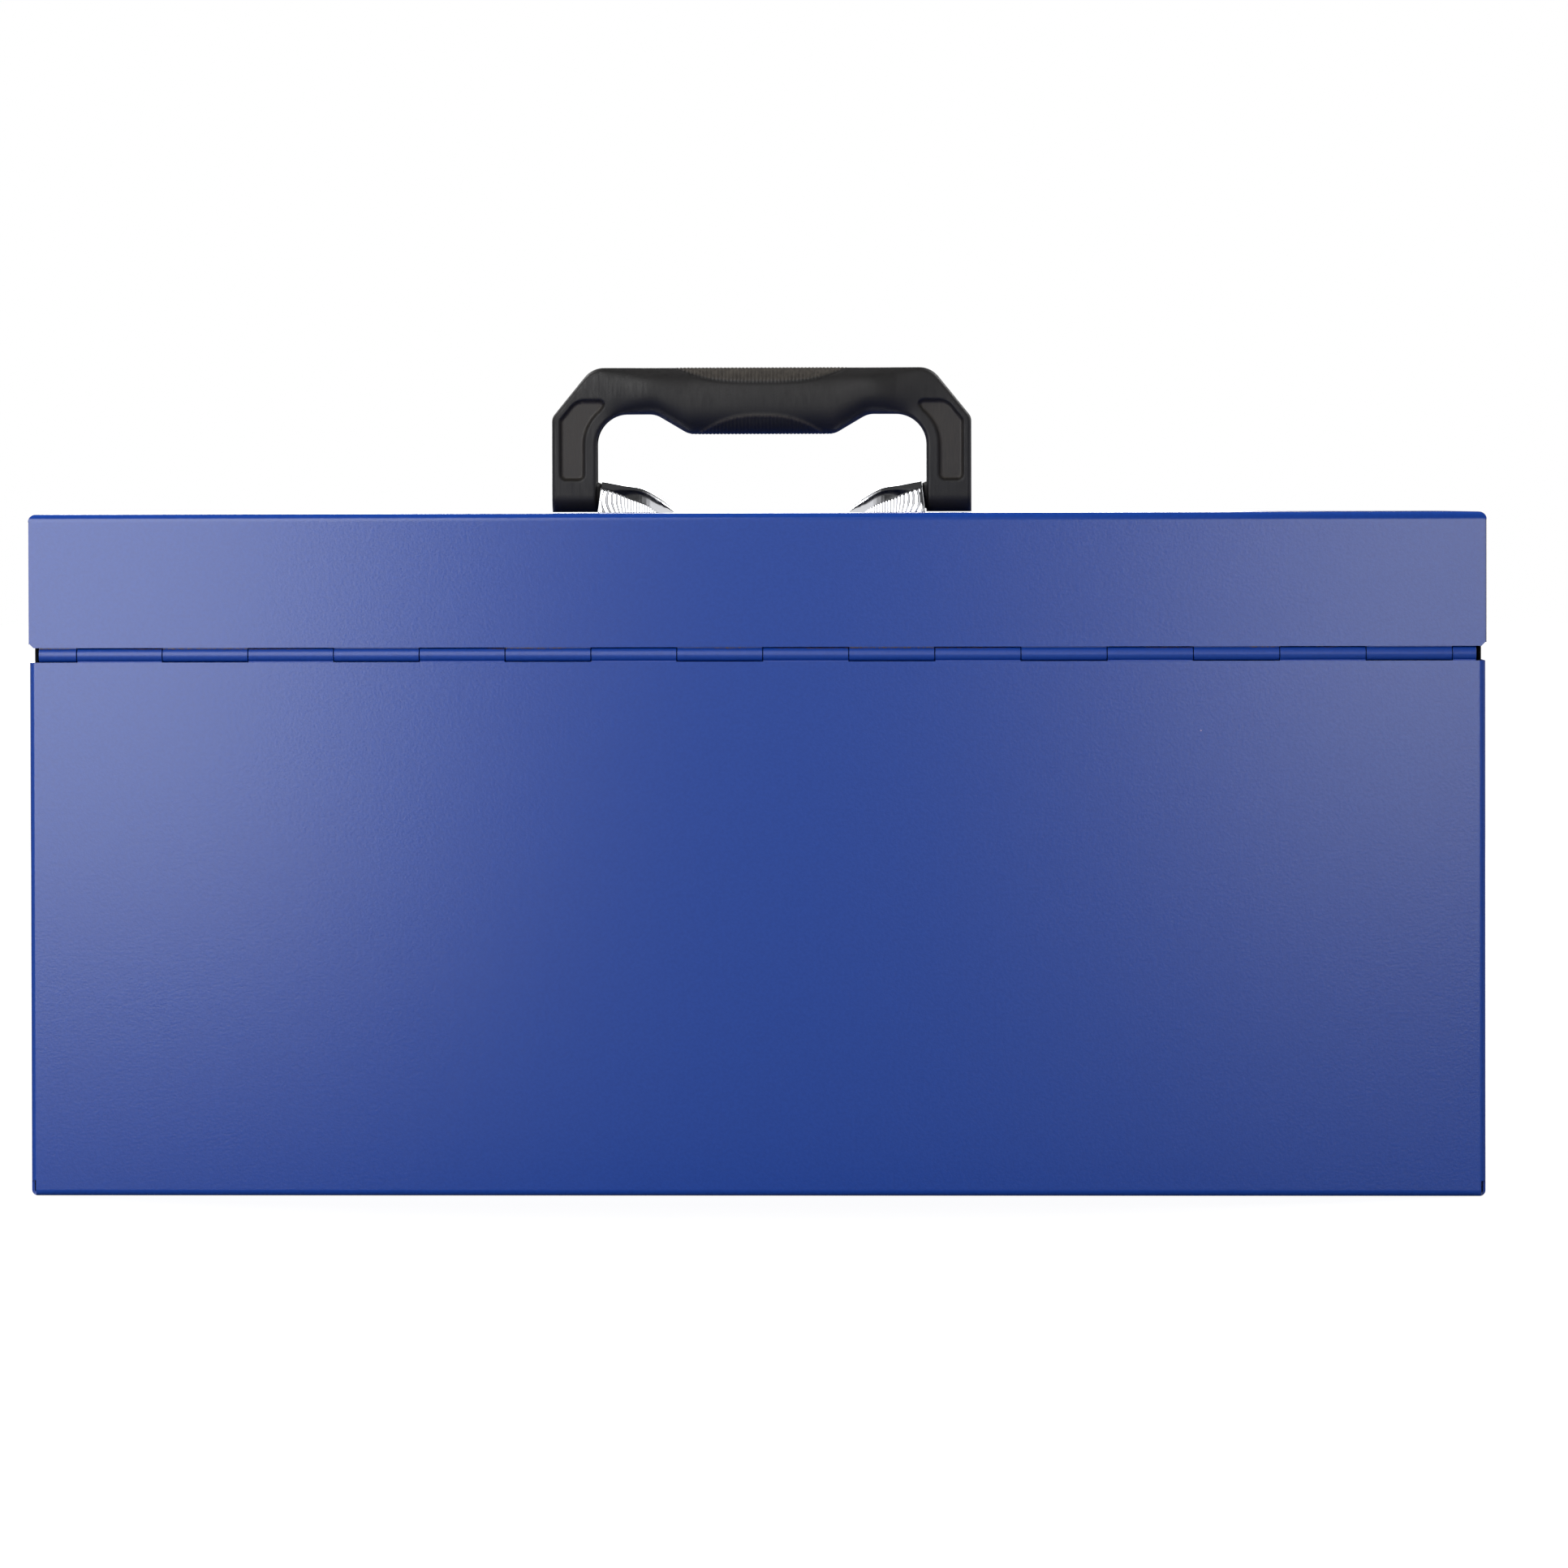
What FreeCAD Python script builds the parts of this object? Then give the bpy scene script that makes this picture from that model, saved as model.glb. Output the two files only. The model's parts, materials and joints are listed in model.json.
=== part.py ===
import FreeCAD, Part
import math
import os
import re
import Sketcher
from FreeCAD import Placement, Rotation, Vector

# A portable steel tool box with three drawers, a hinged lid and a folding handle.
# Millimetres. +Z is up, +X runs along the box, the drawers open towards -Y,
# and the origin is at the middle of the bottom face.

doc = FreeCAD.newDocument("tool_box")

DRAWER_COUNT = 3
BALLS_PER_RACE = 4

# Driving dimensions, grouped by the piece that they belong to.
SIZES = {
    # case
    "case_width": 508.0,
    "case_depth": 216.0,
    "case_height": 186.7,
    "sheet_gauge": 1.0,
    "bend_radius": 2.0,
    "stile_width": 5.0,
    "sill_height": 8.0,
    "relief_width": 1.6,
    "relief_height": 5.4,
    "header_height": 36.7,
    "header_flange": 11.0,
    "rim_rise": 10.0,
    "rim_lap": 5.0,
    "rim_corner": 2.4,
    "rim_end_round": 6.0,
    "rim_setback": 8.0,
    "till_flange": 7.0,
    # lid
    "lid_height": 46.7,
    "lid_bend": 2.6,
    "lid_overhang": 0.4,
    "lid_gap": 1.3,
    "lid_rear_trim": 8.0,
    "seam_gap": 0.4,
    "stiffener_length": 176.0,
    "stiffener_width": 34.0,
    "stiffener_depth": 7.0,
    "stiffener_gauge": 1.2,
    # piano hinge
    "hinge_gap": 5.1,
    "hinge_length": 501.5,
    "hinge_inset": 2.2,
    "hinge_leaf_height": 20.0,
    "knuckle_pitch": 30.0,
    "first_knuckle": 13.3,
    "knuckle_clearance": 0.1,
    "knuckle_end_gap": 0.3,
    "hinge_pin_radius": 1.15,
    "pivot_clearance": 0.05,
    # drawers
    "drawer_reveal": 1.4,
    "drawer_side_gap": 0.8,
    "drawer_gauge": 0.8,
    "drawer_flange": 9.0,
    "drawer_bend": 1.6,
    "tray_length": 204.0,
    "tray_height": 37.0,
    # drawer pulls
    "pull_gauge": 1.2,
    "pull_height": 15.0,
    "pull_reach": 10.0,
    "pull_nose": 8.0,
    "pull_drop": 0.5,
    "pull_cap_length": 2.5,
    # ball slides
    "slide_thickness": 13.5,
    "slide_level": 22.0,
    "slide_length": 200.0,
    "slide_setback": 4.0,
    "rail_gauge": 1.2,
    "case_rail_height": 27.0,
    "case_rail_depth": 11.0,
    "runner_height": 16.4,
    "runner_depth": 8.9,
    "cage_gauge": 0.8,
    "cage_depth": 6.5,
    "cage_length": 48.0,
    "cage_wall_gap": 1.7,
    "ball_radius": 1.75,
    "ball_pitch": 12.0,
    "ball_setback": 2.4,
    "ball_clearance": 0.2,
    # latches
    "latch_spacing": 300.0,
    "latch_base_width": 36.0,
    "latch_base_height": 25.0,
    "latch_base_rise": 7.0,
    "latch_gauge": 1.2,
    "latch_ear_span": 20.4,
    "latch_ear_radius": 3.3,
    "latch_pivot_rise": 20.0,
    "latch_pivot_reach": 5.5,
    "latch_pivot_radius": 1.5,
    "lever_width": 23.6,
    "lever_eye_radius": 3.4,
    "lever_stand": 4.0,
    "lever_shoulder": 3.0,
    "lever_skirt": 12.0,
    "lever_length": 16.2,
    "lever_curl": 2.2,
    "bail_wire_radius": 1.2,
    "bail_width": 26.8,
    "bail_bend": 3.0,
    "bail_hook_back": 1.5,
    "bail_hook_drop": 6.5,
    "bail_bar_gap": 0.4,
    "bail_bar_rise": 1.8,
    "strike_width": 22.0,
    "strike_height": 16.0,
    "strike_rise": 11.0,
    "strike_shelf_rise": 4.0,
    "strike_throat": 2.8,
    "strike_nose": 3.3,
    # rivets
    "rivet_radius": 1.6,
    "rivet_head_radius": 2.6,
    "rivet_head_height": 1.2,
    "rivet_tail_radius": 2.3,
    "rivet_tail_height": 0.8,
    "rivet_inset": 4.5,
    "strike_rivet_spacing": 12.0,
    # padlock eyes
    "eye_width": 18.0,
    "eye_gauge": 2.0,
    "eye_plate_gauge": 1.5,
    "eye_plate_height": 14.0,
    "eye_reach": 17.0,
    "eye_hole_reach": 9.0,
    "eye_hole_radius": 4.0,
    "eye_corner": 6.0,
    "eye_setdown": 0.5,
    # handle
    "handle_span": 152.0,
    "handle_leg": 16.3,
    "handle_rise": 52.6,
    "handle_end_depth": 16.9,
    "handle_middle_depth": 24.0,
    "handle_chamfer_width": 14.6,
    "handle_chamfer_height": 18.0,
    "handle_middle_half": 26.5,
    "handle_shoulder_half": 38.5,
    "handle_top_round": 9.0,
    "handle_inner_round": 11.0,
    "handle_shoulder_round": 8.0,
    "handle_leg_thickness": 12.0,
    "handle_grip_thickness": 17.0,
    "handle_pivot_rise": 6.3,
    "handle_collar_radius": 5.4,
    "handle_collar_length": 1.5,
    "handle_pocket_depth": 1.4,
    "handle_pocket_wall": 4.0,
    "handle_foot_height": 11.5,
    "handle_foot_flat": 0.2,
    # handle clips and their pins
    "clip_gap": 0.3,
    "clip_length": 25.4,
    "clip_rise": 11.2,
    "clip_shoulder_length": 14.0,
    "clip_shoulder_rise": 9.4,
    "clip_width": 17.0,
    "clip_gauge": 1.0,
    "clip_round": 2.4,
    "clip_tab_length": 9.0,
    "clip_tab_hem": 4.0,
    "clip_tab_clearance": 0.2,
    "handle_pin_radius": 2.5,
    "handle_pin_engagement": 10.0,
    "handle_pin_end_gap": 0.5,
    "handle_pin_head_radius": 3.2,
    "handle_pin_head_length": 1.6,
    # every cut runs this far past what it cuts
    "overrun": 5.0,
}

# Places worked out from the driving dimensions.
PLACES = {
    "half_width": "case_width / 2",
    "half_depth": "case_depth / 2",
    "inner_half_width": "half_width - sheet_gauge",
    "inner_half_depth": "half_depth - sheet_gauge",
    "window_half": "half_width - stile_width",
    "header_low": "case_height - header_height",
    "till_level": "header_low + sheet_gauge",
    "rim_low": "case_height - rim_lap",
    "rim_height": "rim_lap + rim_rise",
    "rim_top": "case_height + rim_rise",
    "rim_rear": "half_depth - rim_setback",
    "lid_top": "case_height + hinge_gap + lid_height",
    "lid_back_low": "case_height + hinge_gap",
    "lid_low": "case_height + lid_gap",
    "lid_half": "half_width + lid_overhang",
    "lid_front": "half_depth + lid_overhang",
    "lid_under": "lid_top - sheet_gauge",
    "stiffener_half_width": "stiffener_width / 2",
    "stiffener_low": "lid_under - stiffener_depth",
    "stiffener_skin": "lid_under - stiffener_gauge",
    "hinge_level": "case_height + hinge_gap / 2",
    "hinge_reach": "half_depth - hinge_inset",
    "knuckle_radius": "hinge_gap / 2 - knuckle_clearance",
    "hinge_bore": "hinge_pin_radius + pivot_clearance",
    "hinge_root": "hinge_gap / 2 + knuckle_clearance * 2",
    "leaf_front": "inner_half_depth - sheet_gauge",
    "leaf_low": "hinge_level - hinge_root - hinge_leaf_height",
    "leaf_high": "hinge_level + hinge_root + hinge_leaf_height",
    "bay_height": "header_low - sill_height",
    "front_height": "(bay_height - drawer_reveal * %d) / %d" % (DRAWER_COUNT + 1, DRAWER_COUNT),
    "front_half": "window_half - drawer_side_gap",
    "front_inner": "half_depth - drawer_gauge",
    "tray_half": "inner_half_width - slide_thickness",
    "tray_floor": "drawer_gauge",
    "pull_top": "front_height - pull_drop",
    "pull_low": "pull_top - pull_height",
    "pull_face": "half_depth + pull_gauge",
    "pull_front": "half_depth + pull_reach",
    "pull_nose_low": "pull_top - pull_nose",
    "pull_half": "front_half - pull_cap_length",
    "slide_middle": "slide_length / 2 + slide_setback - half_depth",
    "case_rail_inner": "inner_half_width - case_rail_depth",
    "case_rail_web": "inner_half_width - rail_gauge",
    "case_rail_half": "case_rail_height / 2",
    "runner_outer": "tray_half + runner_depth",
    "runner_half": "runner_height / 2",
    "race_gap": "case_rail_half - rail_gauge - runner_half",
    "ball_level": "runner_half + race_gap / 2",
    "cage_outer": "case_rail_web - cage_wall_gap",
    "cage_inner": "cage_outer - cage_depth",
    "cage_half": "ball_level + cage_gauge / 2",
    "ball_place": "cage_inner + ball_setback",
    "latch_low": "header_low + latch_base_rise",
    "latch_high": "latch_low + latch_base_height",
    "latch_face": "half_depth + latch_gauge",
    "latch_pivot_level": "header_low + latch_pivot_rise",
    "latch_pivot_place": "half_depth + latch_pivot_reach",
    "latch_ear_half": "latch_ear_span / 2",
    "latch_ear_inner": "latch_ear_half - latch_gauge",
    "latch_hole": "latch_pivot_radius + pivot_clearance",
    "lever_half": "lever_width / 2",
    "lever_inner": "lever_half - latch_gauge",
    "lever_face": "lever_stand + latch_gauge",
    "bail_hole": "bail_wire_radius + pivot_clearance",
    "bail_pivot_level": "latch_pivot_level - bail_hook_drop",
    "bail_pivot_place": "latch_pivot_place - bail_hook_back",
    "strike_low": "case_height + strike_rise",
    "strike_high": "strike_low + strike_height",
    "strike_face": "lid_front + latch_gauge",
    "strike_shelf": "strike_low + strike_shelf_rise",
    "strike_nose_inner": "strike_face + strike_throat",
    "strike_nose_outer": "strike_nose_inner + latch_gauge",
    "strike_nose_top": "strike_shelf + latch_gauge + strike_nose",
    "bail_bar_place": "strike_nose_outer + bail_bar_gap + bail_wire_radius",
    "bail_bar_level": "strike_shelf + latch_gauge + bail_bar_rise",
    "rivet_hole": "rivet_radius + pivot_clearance",
    "eye_front": "half_depth + eye_reach",
    "eye_place": "half_depth + eye_hole_reach",
    "lower_eye_top": "case_height - eye_setdown",
    "lower_eye_tab": "lower_eye_top - eye_gauge",
    "lower_eye_face": "half_depth + eye_plate_gauge",
    "upper_eye_low": "lid_low + eye_setdown * 2",
    "upper_eye_tab": "upper_eye_low + eye_gauge",
    "upper_eye_face": "lid_front + eye_plate_gauge",
    "handle_half": "handle_span / 2",
    "handle_inner_half": "handle_half - handle_leg",
    "handle_top": "lid_top + handle_rise",
    "handle_end_low": "handle_top - handle_end_depth",
    "handle_middle_low": "handle_top - handle_middle_depth",
    "handle_pivot_level": "lid_top + handle_pivot_rise",
    "handle_low": "handle_pivot_level - handle_leg_thickness / 2",
    "handle_chamfer_low": "handle_top - handle_chamfer_height",
    "handle_chamfer_half": "handle_half - handle_chamfer_width",
    "handle_collar_face": "handle_inner_half - handle_collar_length",
    "handle_pin_end": "handle_inner_half + handle_pin_engagement",
    "handle_bore": "handle_pin_radius + pivot_clearance",
    "handle_bore_end": "handle_pin_end + handle_pin_end_gap",
    "handle_foot_top": "lid_top + handle_foot_height",
    "pocket_outer": "handle_half - handle_pocket_wall",
    "pocket_inner": "handle_inner_half + handle_pocket_wall",
    "clip_mouth": "handle_collar_face - clip_gap",
    "clip_wall": "clip_mouth - clip_gauge",
    "clip_tail": "clip_mouth - clip_length",
    "clip_shoulder": "clip_mouth - clip_shoulder_length",
    "clip_half_width": "clip_width / 2",
    "clip_inner_half_width": "clip_half_width - clip_gauge",
    "clip_tab_far": "clip_mouth - (clip_length + clip_tab_length) / 2",
    "clip_tab_near": "clip_tab_far + clip_tab_length",
    "clip_tab_low": "stiffener_skin - clip_gauge",
    "handle_pin_head": "clip_wall - handle_pin_head_length",
}

def linked(text):
    # Names in a formula become references to the two sheets.
    def reference(match):
        name = match.group(0)
        if name in SIZES:
            return "sizes." + name
        if name in PLACES:
            return "places." + name
        return name

    return re.sub(r"[a-z_][a-z0-9_]*", reference, text)


sizes = doc.addObject("Spreadsheet::Sheet", "sizes")
for row, (name, amount) in enumerate(SIZES.items(), 1):
    sizes.set("A%d" % row, name)
    sizes.set("B%d" % row, str(amount))
    sizes.setAlias("B%d" % row, name)

places = doc.addObject("Spreadsheet::Sheet", "places")
for row, (name, formula) in enumerate(PLACES.items(), 1):
    places.set("A%d" % row, name)
    places.setAlias("B%d" % row, name)
for row, (name, formula) in enumerate(PLACES.items(), 1):
    places.set("B%d" % row, "=" + linked(formula).replace("places.", ""))
doc.recompute()


def number(name):
    sheet = sizes if name in SIZES else places
    return float(sheet.get(name))


TINY_SHARE = 0.001
ALONG_X = Vector(1, 0, 0)
ALONG_Y = Vector(0, 1, 0)
ALONG_Z = Vector(0, 0, 1)
nodes = {}


def keep(item, label):
    item.Label = label
    nodes[label] = item
    return item


def new_body(name):
    return doc.addObject("PartDesign::Body", name)


def new_sketch(body, role, level="0"):
    plane = [face for face in body.Origin.OriginFeatures if face.Role == role][0]
    sketch = body.newObject("Sketcher::SketchObject", body.Name + "_sketch")
    sketch.AttachmentSupport = [(plane, "")]
    sketch.MapMode = "FlatFace"
    if level != "0":
        sketch.setExpression("AttachmentOffset.Base.z", linked(level))
    return sketch


def bind(sketch, kind, text, *where):
    index = sketch.addConstraint(Sketcher.Constraint(kind, *where, 1.0))
    sketch.setExpression("Constraints[%d]" % index, linked(text))


def polygon(sketch, corners):
    # A closed outline whose every corner is held by two formulas.
    first = sketch.GeometryCount
    count = len(corners)
    turns = [2 * math.pi * step / count for step in range(count)]
    ring = [Vector(math.cos(turn), math.sin(turn), 0) for turn in turns]
    sides = [Part.LineSegment(ring[i], ring[(i + 1) % count]) for i in range(count)]
    sketch.addGeometry(sides, False)
    for i in range(count):
        after = first + (i + 1) % count
        sketch.addConstraint(Sketcher.Constraint("Coincident", first + i, 2, after, 1))
    for i, (across, up) in enumerate(corners):
        bind(sketch, "DistanceX", across, -1, 1, first + i, 1)
        bind(sketch, "DistanceY", up, -1, 1, first + i, 1)


def rectangle(sketch, left, low, right, high):
    polygon(sketch, [(left, low), (right, low), (right, high), (left, high)])


def circle(sketch, across, up, radius):
    index = sketch.addGeometry(Part.Circle(Vector(1, 1, 0), Vector(0, 0, 1), 1), False)
    bind(sketch, "DistanceX", across, -1, 1, index, 3)
    bind(sketch, "DistanceY", up, -1, 1, index, 3)
    bind(sketch, "Radius", radius, index)


def feature(body, kind, sketch, length, both=False, back=False):
    item = body.newObject("PartDesign::" + kind, body.Name + "_" + kind.lower())
    item.Profile = sketch
    item.SideType = "Symmetric" if both else "One side"
    item.Reversed = back
    item.setExpression("Length", linked(length))
    sketch.Visibility = False
    return item


def pad(body, sketch, length, both=False, back=False):
    return feature(body, "Pad", sketch, length, both, back)


def pocket(body, sketch, length, both=False, back=False):
    # A pocket that misses the solid would change nothing, so its volume is compared.
    doc.recompute()
    before = body.Shape.Volume
    item = feature(body, "Pocket", sketch, length, both, back)
    doc.recompute()
    if body.Shape.Volume >= before:
        raise RuntimeError(item.Name + " cuts nothing")
    return item


def edges_where(shape, wanted):
    return ["Edge%d" % (i + 1) for i, edge in enumerate(shape.Edges) if wanted(edge)]


def runs_along(edge, axis):
    if not isinstance(edge.Curve, Part.Line):
        return False
    return abs(edge.Curve.Direction.dot(axis)) > 1 - TINY_SHARE


def near(edge, across=None, along=None, up=None):
    middle = edge.CenterOfMass
    pairs = ((across, middle.x), (along, middle.y), (up, middle.z))
    slack = number("overrun") * TINY_SHARE
    return all(abs(place - want) < slack for want, place in pairs if want is not None)


def fillet(body, radius, wanted):
    doc.recompute()
    base = body.Tip
    names = edges_where(base.Shape, wanted)
    if not names:
        raise RuntimeError(body.Name + " has no edge to round")
    item = body.newObject("PartDesign::Fillet", body.Name + "_fillet")
    item.Base = (base, names)
    item.setExpression("Radius", linked(radius))
    return item


def hollow(body, gauge, face_level, axis=ALONG_Z):
    # The solid becomes a shell of one gauge, open at the flat face at this level.
    doc.recompute()
    base = body.Tip
    names = []
    for i, face in enumerate(base.Shape.Faces):
        flat = isinstance(face.Surface, Part.Plane) and abs(face.normalAt(0, 0).dot(axis)) > 1 - TINY_SHARE
        if flat and abs(face.CenterOfMass.dot(axis) - face_level) < number("overrun") * TINY_SHARE:
            names.append("Face%d" % (i + 1))
    item = body.newObject("PartDesign::Thickness", body.Name + "_shell")
    item.Base = (base, names)
    item.Reversed = True
    item.Join = 0
    item.setExpression("Value", linked(gauge))
    return item


def mirrored(name, source):
    item = doc.addObject("Part::Mirroring", name)
    item.Source = source
    item.Normal = ALONG_X
    return item


def group(name, items):
    item = doc.addObject("Part::Compound", name)
    item.Links = items
    return item


def shift(item, across="0", along="0", up="0"):
    for axis, text in (("x", across), ("y", along), ("z", up)):
        if text != "0":
            item.setExpression("Placement.Base." + axis, linked(text))
    return item


def make_body_shell():
    body = new_body("body_shell_body")
    base = new_sketch(body, "XY_Plane")
    rectangle(base, "-half_width", "-half_depth", "half_width", "half_depth")
    pad(body, base, "case_height")
    fillet(body, "bend_radius", lambda edge: runs_along(edge, ALONG_Z) or near(edge, up=0))
    hollow(body, "sheet_gauge", number("case_height"))
    window = new_sketch(body, "XZ_Plane")
    rectangle(window, "-window_half", "sill_height", "window_half", "case_height + overrun")
    pocket(body, window, "half_depth + overrun", back=True)
    reliefs = new_sketch(body, "XY_Plane")
    for across in ("-", ""):
        for along in ("-", ""):
            polygon(reliefs, [
                (across + "half_width", along + "half_depth"),
                (across + "(half_width - relief_width)", along + "half_depth"),
                (across + "(half_width - relief_width)", along + "(half_depth - relief_width)"),
                (across + "half_width", along + "(half_depth - relief_width)"),
            ])
    pocket(body, reliefs, "relief_height", back=True)
    return keep(body, "body_shell")


def make_front_header():
    body = new_body("front_header_body")
    side = new_sketch(body, "YZ_Plane")
    polygon(side, [
        ("-half_depth", "header_low"),
        ("-half_depth", "case_height"),
        ("-inner_half_depth", "case_height"),
        ("-inner_half_depth", "till_level"),
        ("header_flange - half_depth", "till_level"),
        ("header_flange - half_depth", "header_low"),
    ])
    pad(body, side, "window_half * 2", both=True)
    fillet(body, "bend_radius - sheet_gauge / 2",
           lambda edge: near(edge, across=0, along=-number("half_depth"), up=number("header_low")))
    holes = new_sketch(body, "XZ_Plane")
    for across in ("-", ""):
        for level in ("latch_low + rivet_inset", "latch_high - rivet_inset"):
            circle(holes, across + "latch_spacing / 2", level, "rivet_hole")
    pocket(body, holes, "half_depth + overrun", back=True)
    return keep(body, "front_header")


def make_inner_rim():
    body = new_body("inner_rim_body")
    plan = new_sketch(body, "XY_Plane", "rim_low")
    outer, inner = "inner_half_width", "(inner_half_width - sheet_gauge)"
    polygon(plan, [
        ("-" + outer, "rim_rear"),
        ("-" + outer, "-inner_half_depth"),
        (outer, "-inner_half_depth"),
        (outer, "rim_rear"),
        (inner, "rim_rear"),
        (inner, "sheet_gauge - inner_half_depth"),
        ("-" + inner, "sheet_gauge - inner_half_depth"),
        ("-" + inner, "rim_rear"),
    ])
    pad(body, plan, "rim_height")
    fillet(body, "rim_corner",
           lambda edge: runs_along(edge, ALONG_Z) and near(edge, along=-number("inner_half_depth")))
    fillet(body, "rim_corner - sheet_gauge",
           lambda edge: runs_along(edge, ALONG_Z)
           and near(edge, along=number("sheet_gauge") - number("inner_half_depth")))
    fillet(body, "rim_end_round",
           lambda edge: runs_along(edge, ALONG_X)
           and near(edge, along=number("rim_rear"), up=number("rim_top")))
    return keep(body, "inner_rim")


def make_pan(body, half_x, low_y, high_y, level, height, corner, gauge):
    plan = new_sketch(body, "XY_Plane", level)
    rectangle(plan, "-" + half_x, low_y, half_x, high_y)
    pad(body, plan, height)
    doc.recompute()
    floor = body.Shape.BoundBox.ZMin
    fillet(body, corner, lambda edge: runs_along(edge, ALONG_Z) or near(edge, up=floor))
    hollow(body, gauge, body.Shape.BoundBox.ZMax)


def make_till_floor():
    body = new_body("till_floor_body")
    make_pan(body, "inner_half_width", "-inner_half_depth", "inner_half_depth",
             "till_level", "till_flange", "bend_radius", "sheet_gauge")
    return keep(body, "till_floor")


def knuckle_edges():
    # Places of the joints between knuckles, from one end of the hinge to the other.
    count = int((number("hinge_length") - number("first_knuckle")) / number("knuckle_pitch")) + 1
    starts = ["hinge_length / 2"]
    for step in range(count):
        starts.append("hinge_length / 2 - first_knuckle - knuckle_pitch * %d" % step)
    starts.append("-hinge_length / 2")
    return starts


def make_hinge_leaf(label, low, high, slot_low, slot_high, own):
    # own is 0 for the leaf that has the first knuckle and 1 for the other.
    body = new_body(label + "_body")
    leaf = new_sketch(body, "YZ_Plane")
    rectangle(leaf, "leaf_front", low, "inner_half_depth", high)
    pad(body, leaf, "hinge_length", both=True)
    tube = new_sketch(body, "YZ_Plane")
    circle(tube, "hinge_reach", "hinge_level", "knuckle_radius")
    pad(body, tube, "hinge_length", both=True)
    slots = new_sketch(body, "XZ_Plane")
    joints = knuckle_edges()
    for i in range(len(joints) - 1):
        if i % 2 == own:
            continue
        first = "%s + knuckle_end_gap / 2" % joints[i] if i else "%s + overrun" % joints[i]
        last = "%s - knuckle_end_gap / 2" % joints[i + 1]
        if i == len(joints) - 2:
            last = "%s - overrun" % joints[i + 1]
        rectangle(slots, last, slot_low, first, slot_high)
    pocket(body, slots, "half_depth + overrun", back=False)
    bore = new_sketch(body, "YZ_Plane")
    circle(bore, "hinge_reach", "hinge_level", "hinge_bore")
    pocket(body, bore, "hinge_length + overrun", both=True)
    return keep(body, label)


def make_hinge():
    make_hinge_leaf("hinge_body_leaf", "leaf_low", "hinge_level",
                    "hinge_level - hinge_root", "hinge_level + hinge_root + overrun", 1)
    make_hinge_leaf("hinge_lid_leaf", "hinge_level", "leaf_high",
                    "hinge_level - hinge_root - overrun", "hinge_level + hinge_root", 0)
    pin = doc.addObject("Part::Cylinder", "hinge_pin_rod")
    pin.Placement = Placement(Vector(), Rotation(ALONG_Y, 90))
    pin.setExpression("Radius", linked("hinge_pin_radius"))
    pin.setExpression("Height", linked("hinge_length - knuckle_end_gap * 2"))
    shift(pin, "knuckle_end_gap - hinge_length / 2", "hinge_reach", "hinge_level")
    keep(pin, "hinge_pin")


def clip_slots(sketch):
    # Four slots, one for each tab of the two handle clips.
    for across in ("-", ""):
        for along in ("-", ""):
            near_end = across + "(clip_tab_near + clip_tab_clearance)"
            far_end = across + "(clip_tab_far - clip_tab_clearance)"
            inner_side = along + "(clip_inner_half_width - clip_tab_clearance)"
            outer_side = along + "(clip_half_width + clip_tab_clearance)"
            rectangle(sketch, near_end, inner_side, far_end, outer_side)


def make_lid_shell():
    body = new_body("lid_shell_body")
    plan = new_sketch(body, "XY_Plane", "lid_low")
    rectangle(plan, "-lid_half", "-lid_front", "lid_half", "half_depth")
    pad(body, plan, "lid_top - lid_low")
    fillet(body, "lid_bend", lambda edge: near(edge, up=number("lid_top")))
    hollow(body, "sheet_gauge", number("lid_low"))
    trim = new_sketch(body, "YZ_Plane")
    rectangle(trim, "half_depth - lid_rear_trim", "lid_low - overrun",
              "half_depth + overrun", "lid_back_low")
    pocket(body, trim, "lid_half * 2 + overrun", both=True)
    seams = new_sketch(body, "XZ_Plane")
    for across in ("-", ""):
        polygon(seams, [
            (across + "(lid_half - sheet_gauge)", "lid_low - overrun"),
            (across + "(lid_half - sheet_gauge)", "lid_top - lid_bend"),
            (across + "(lid_half - sheet_gauge - seam_gap)", "lid_top - lid_bend"),
            (across + "(lid_half - sheet_gauge - seam_gap)", "lid_low - overrun"),
        ])
    pocket(body, seams, "(lid_front + overrun) * 2", both=True)
    tops = new_sketch(body, "XY_Plane", "lid_top + overrun")
    clip_slots(tops)
    pocket(body, tops, "overrun * 2")
    fronts = new_sketch(body, "XZ_Plane")
    for side in ("-", ""):
        for step in ("-", "+"):
            place = side + "latch_spacing / 2 " + step + " strike_rivet_spacing / 2"
            circle(fronts, place, "strike_high - rivet_inset", "rivet_hole")
    pocket(body, fronts, "lid_front + overrun", back=True)
    return keep(body, "lid_shell")


def make_lid_stiffener():
    body = new_body("lid_stiffener_body")
    side = new_sketch(body, "YZ_Plane")
    outer, inner = "stiffener_half_width", "(stiffener_half_width - stiffener_gauge)"
    polygon(side, [
        ("-" + outer, "lid_under"),
        (outer, "lid_under"),
        (outer, "stiffener_low"),
        (inner, "stiffener_low"),
        (inner, "stiffener_skin"),
        ("-" + inner, "stiffener_skin"),
        ("-" + inner, "stiffener_low"),
        ("-" + outer, "stiffener_low"),
    ])
    pad(body, side, "stiffener_length", both=True)
    slots = new_sketch(body, "XY_Plane", "lid_top")
    clip_slots(slots)
    pocket(body, slots, "stiffener_depth + overrun")
    return keep(body, "lid_stiffener")


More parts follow.
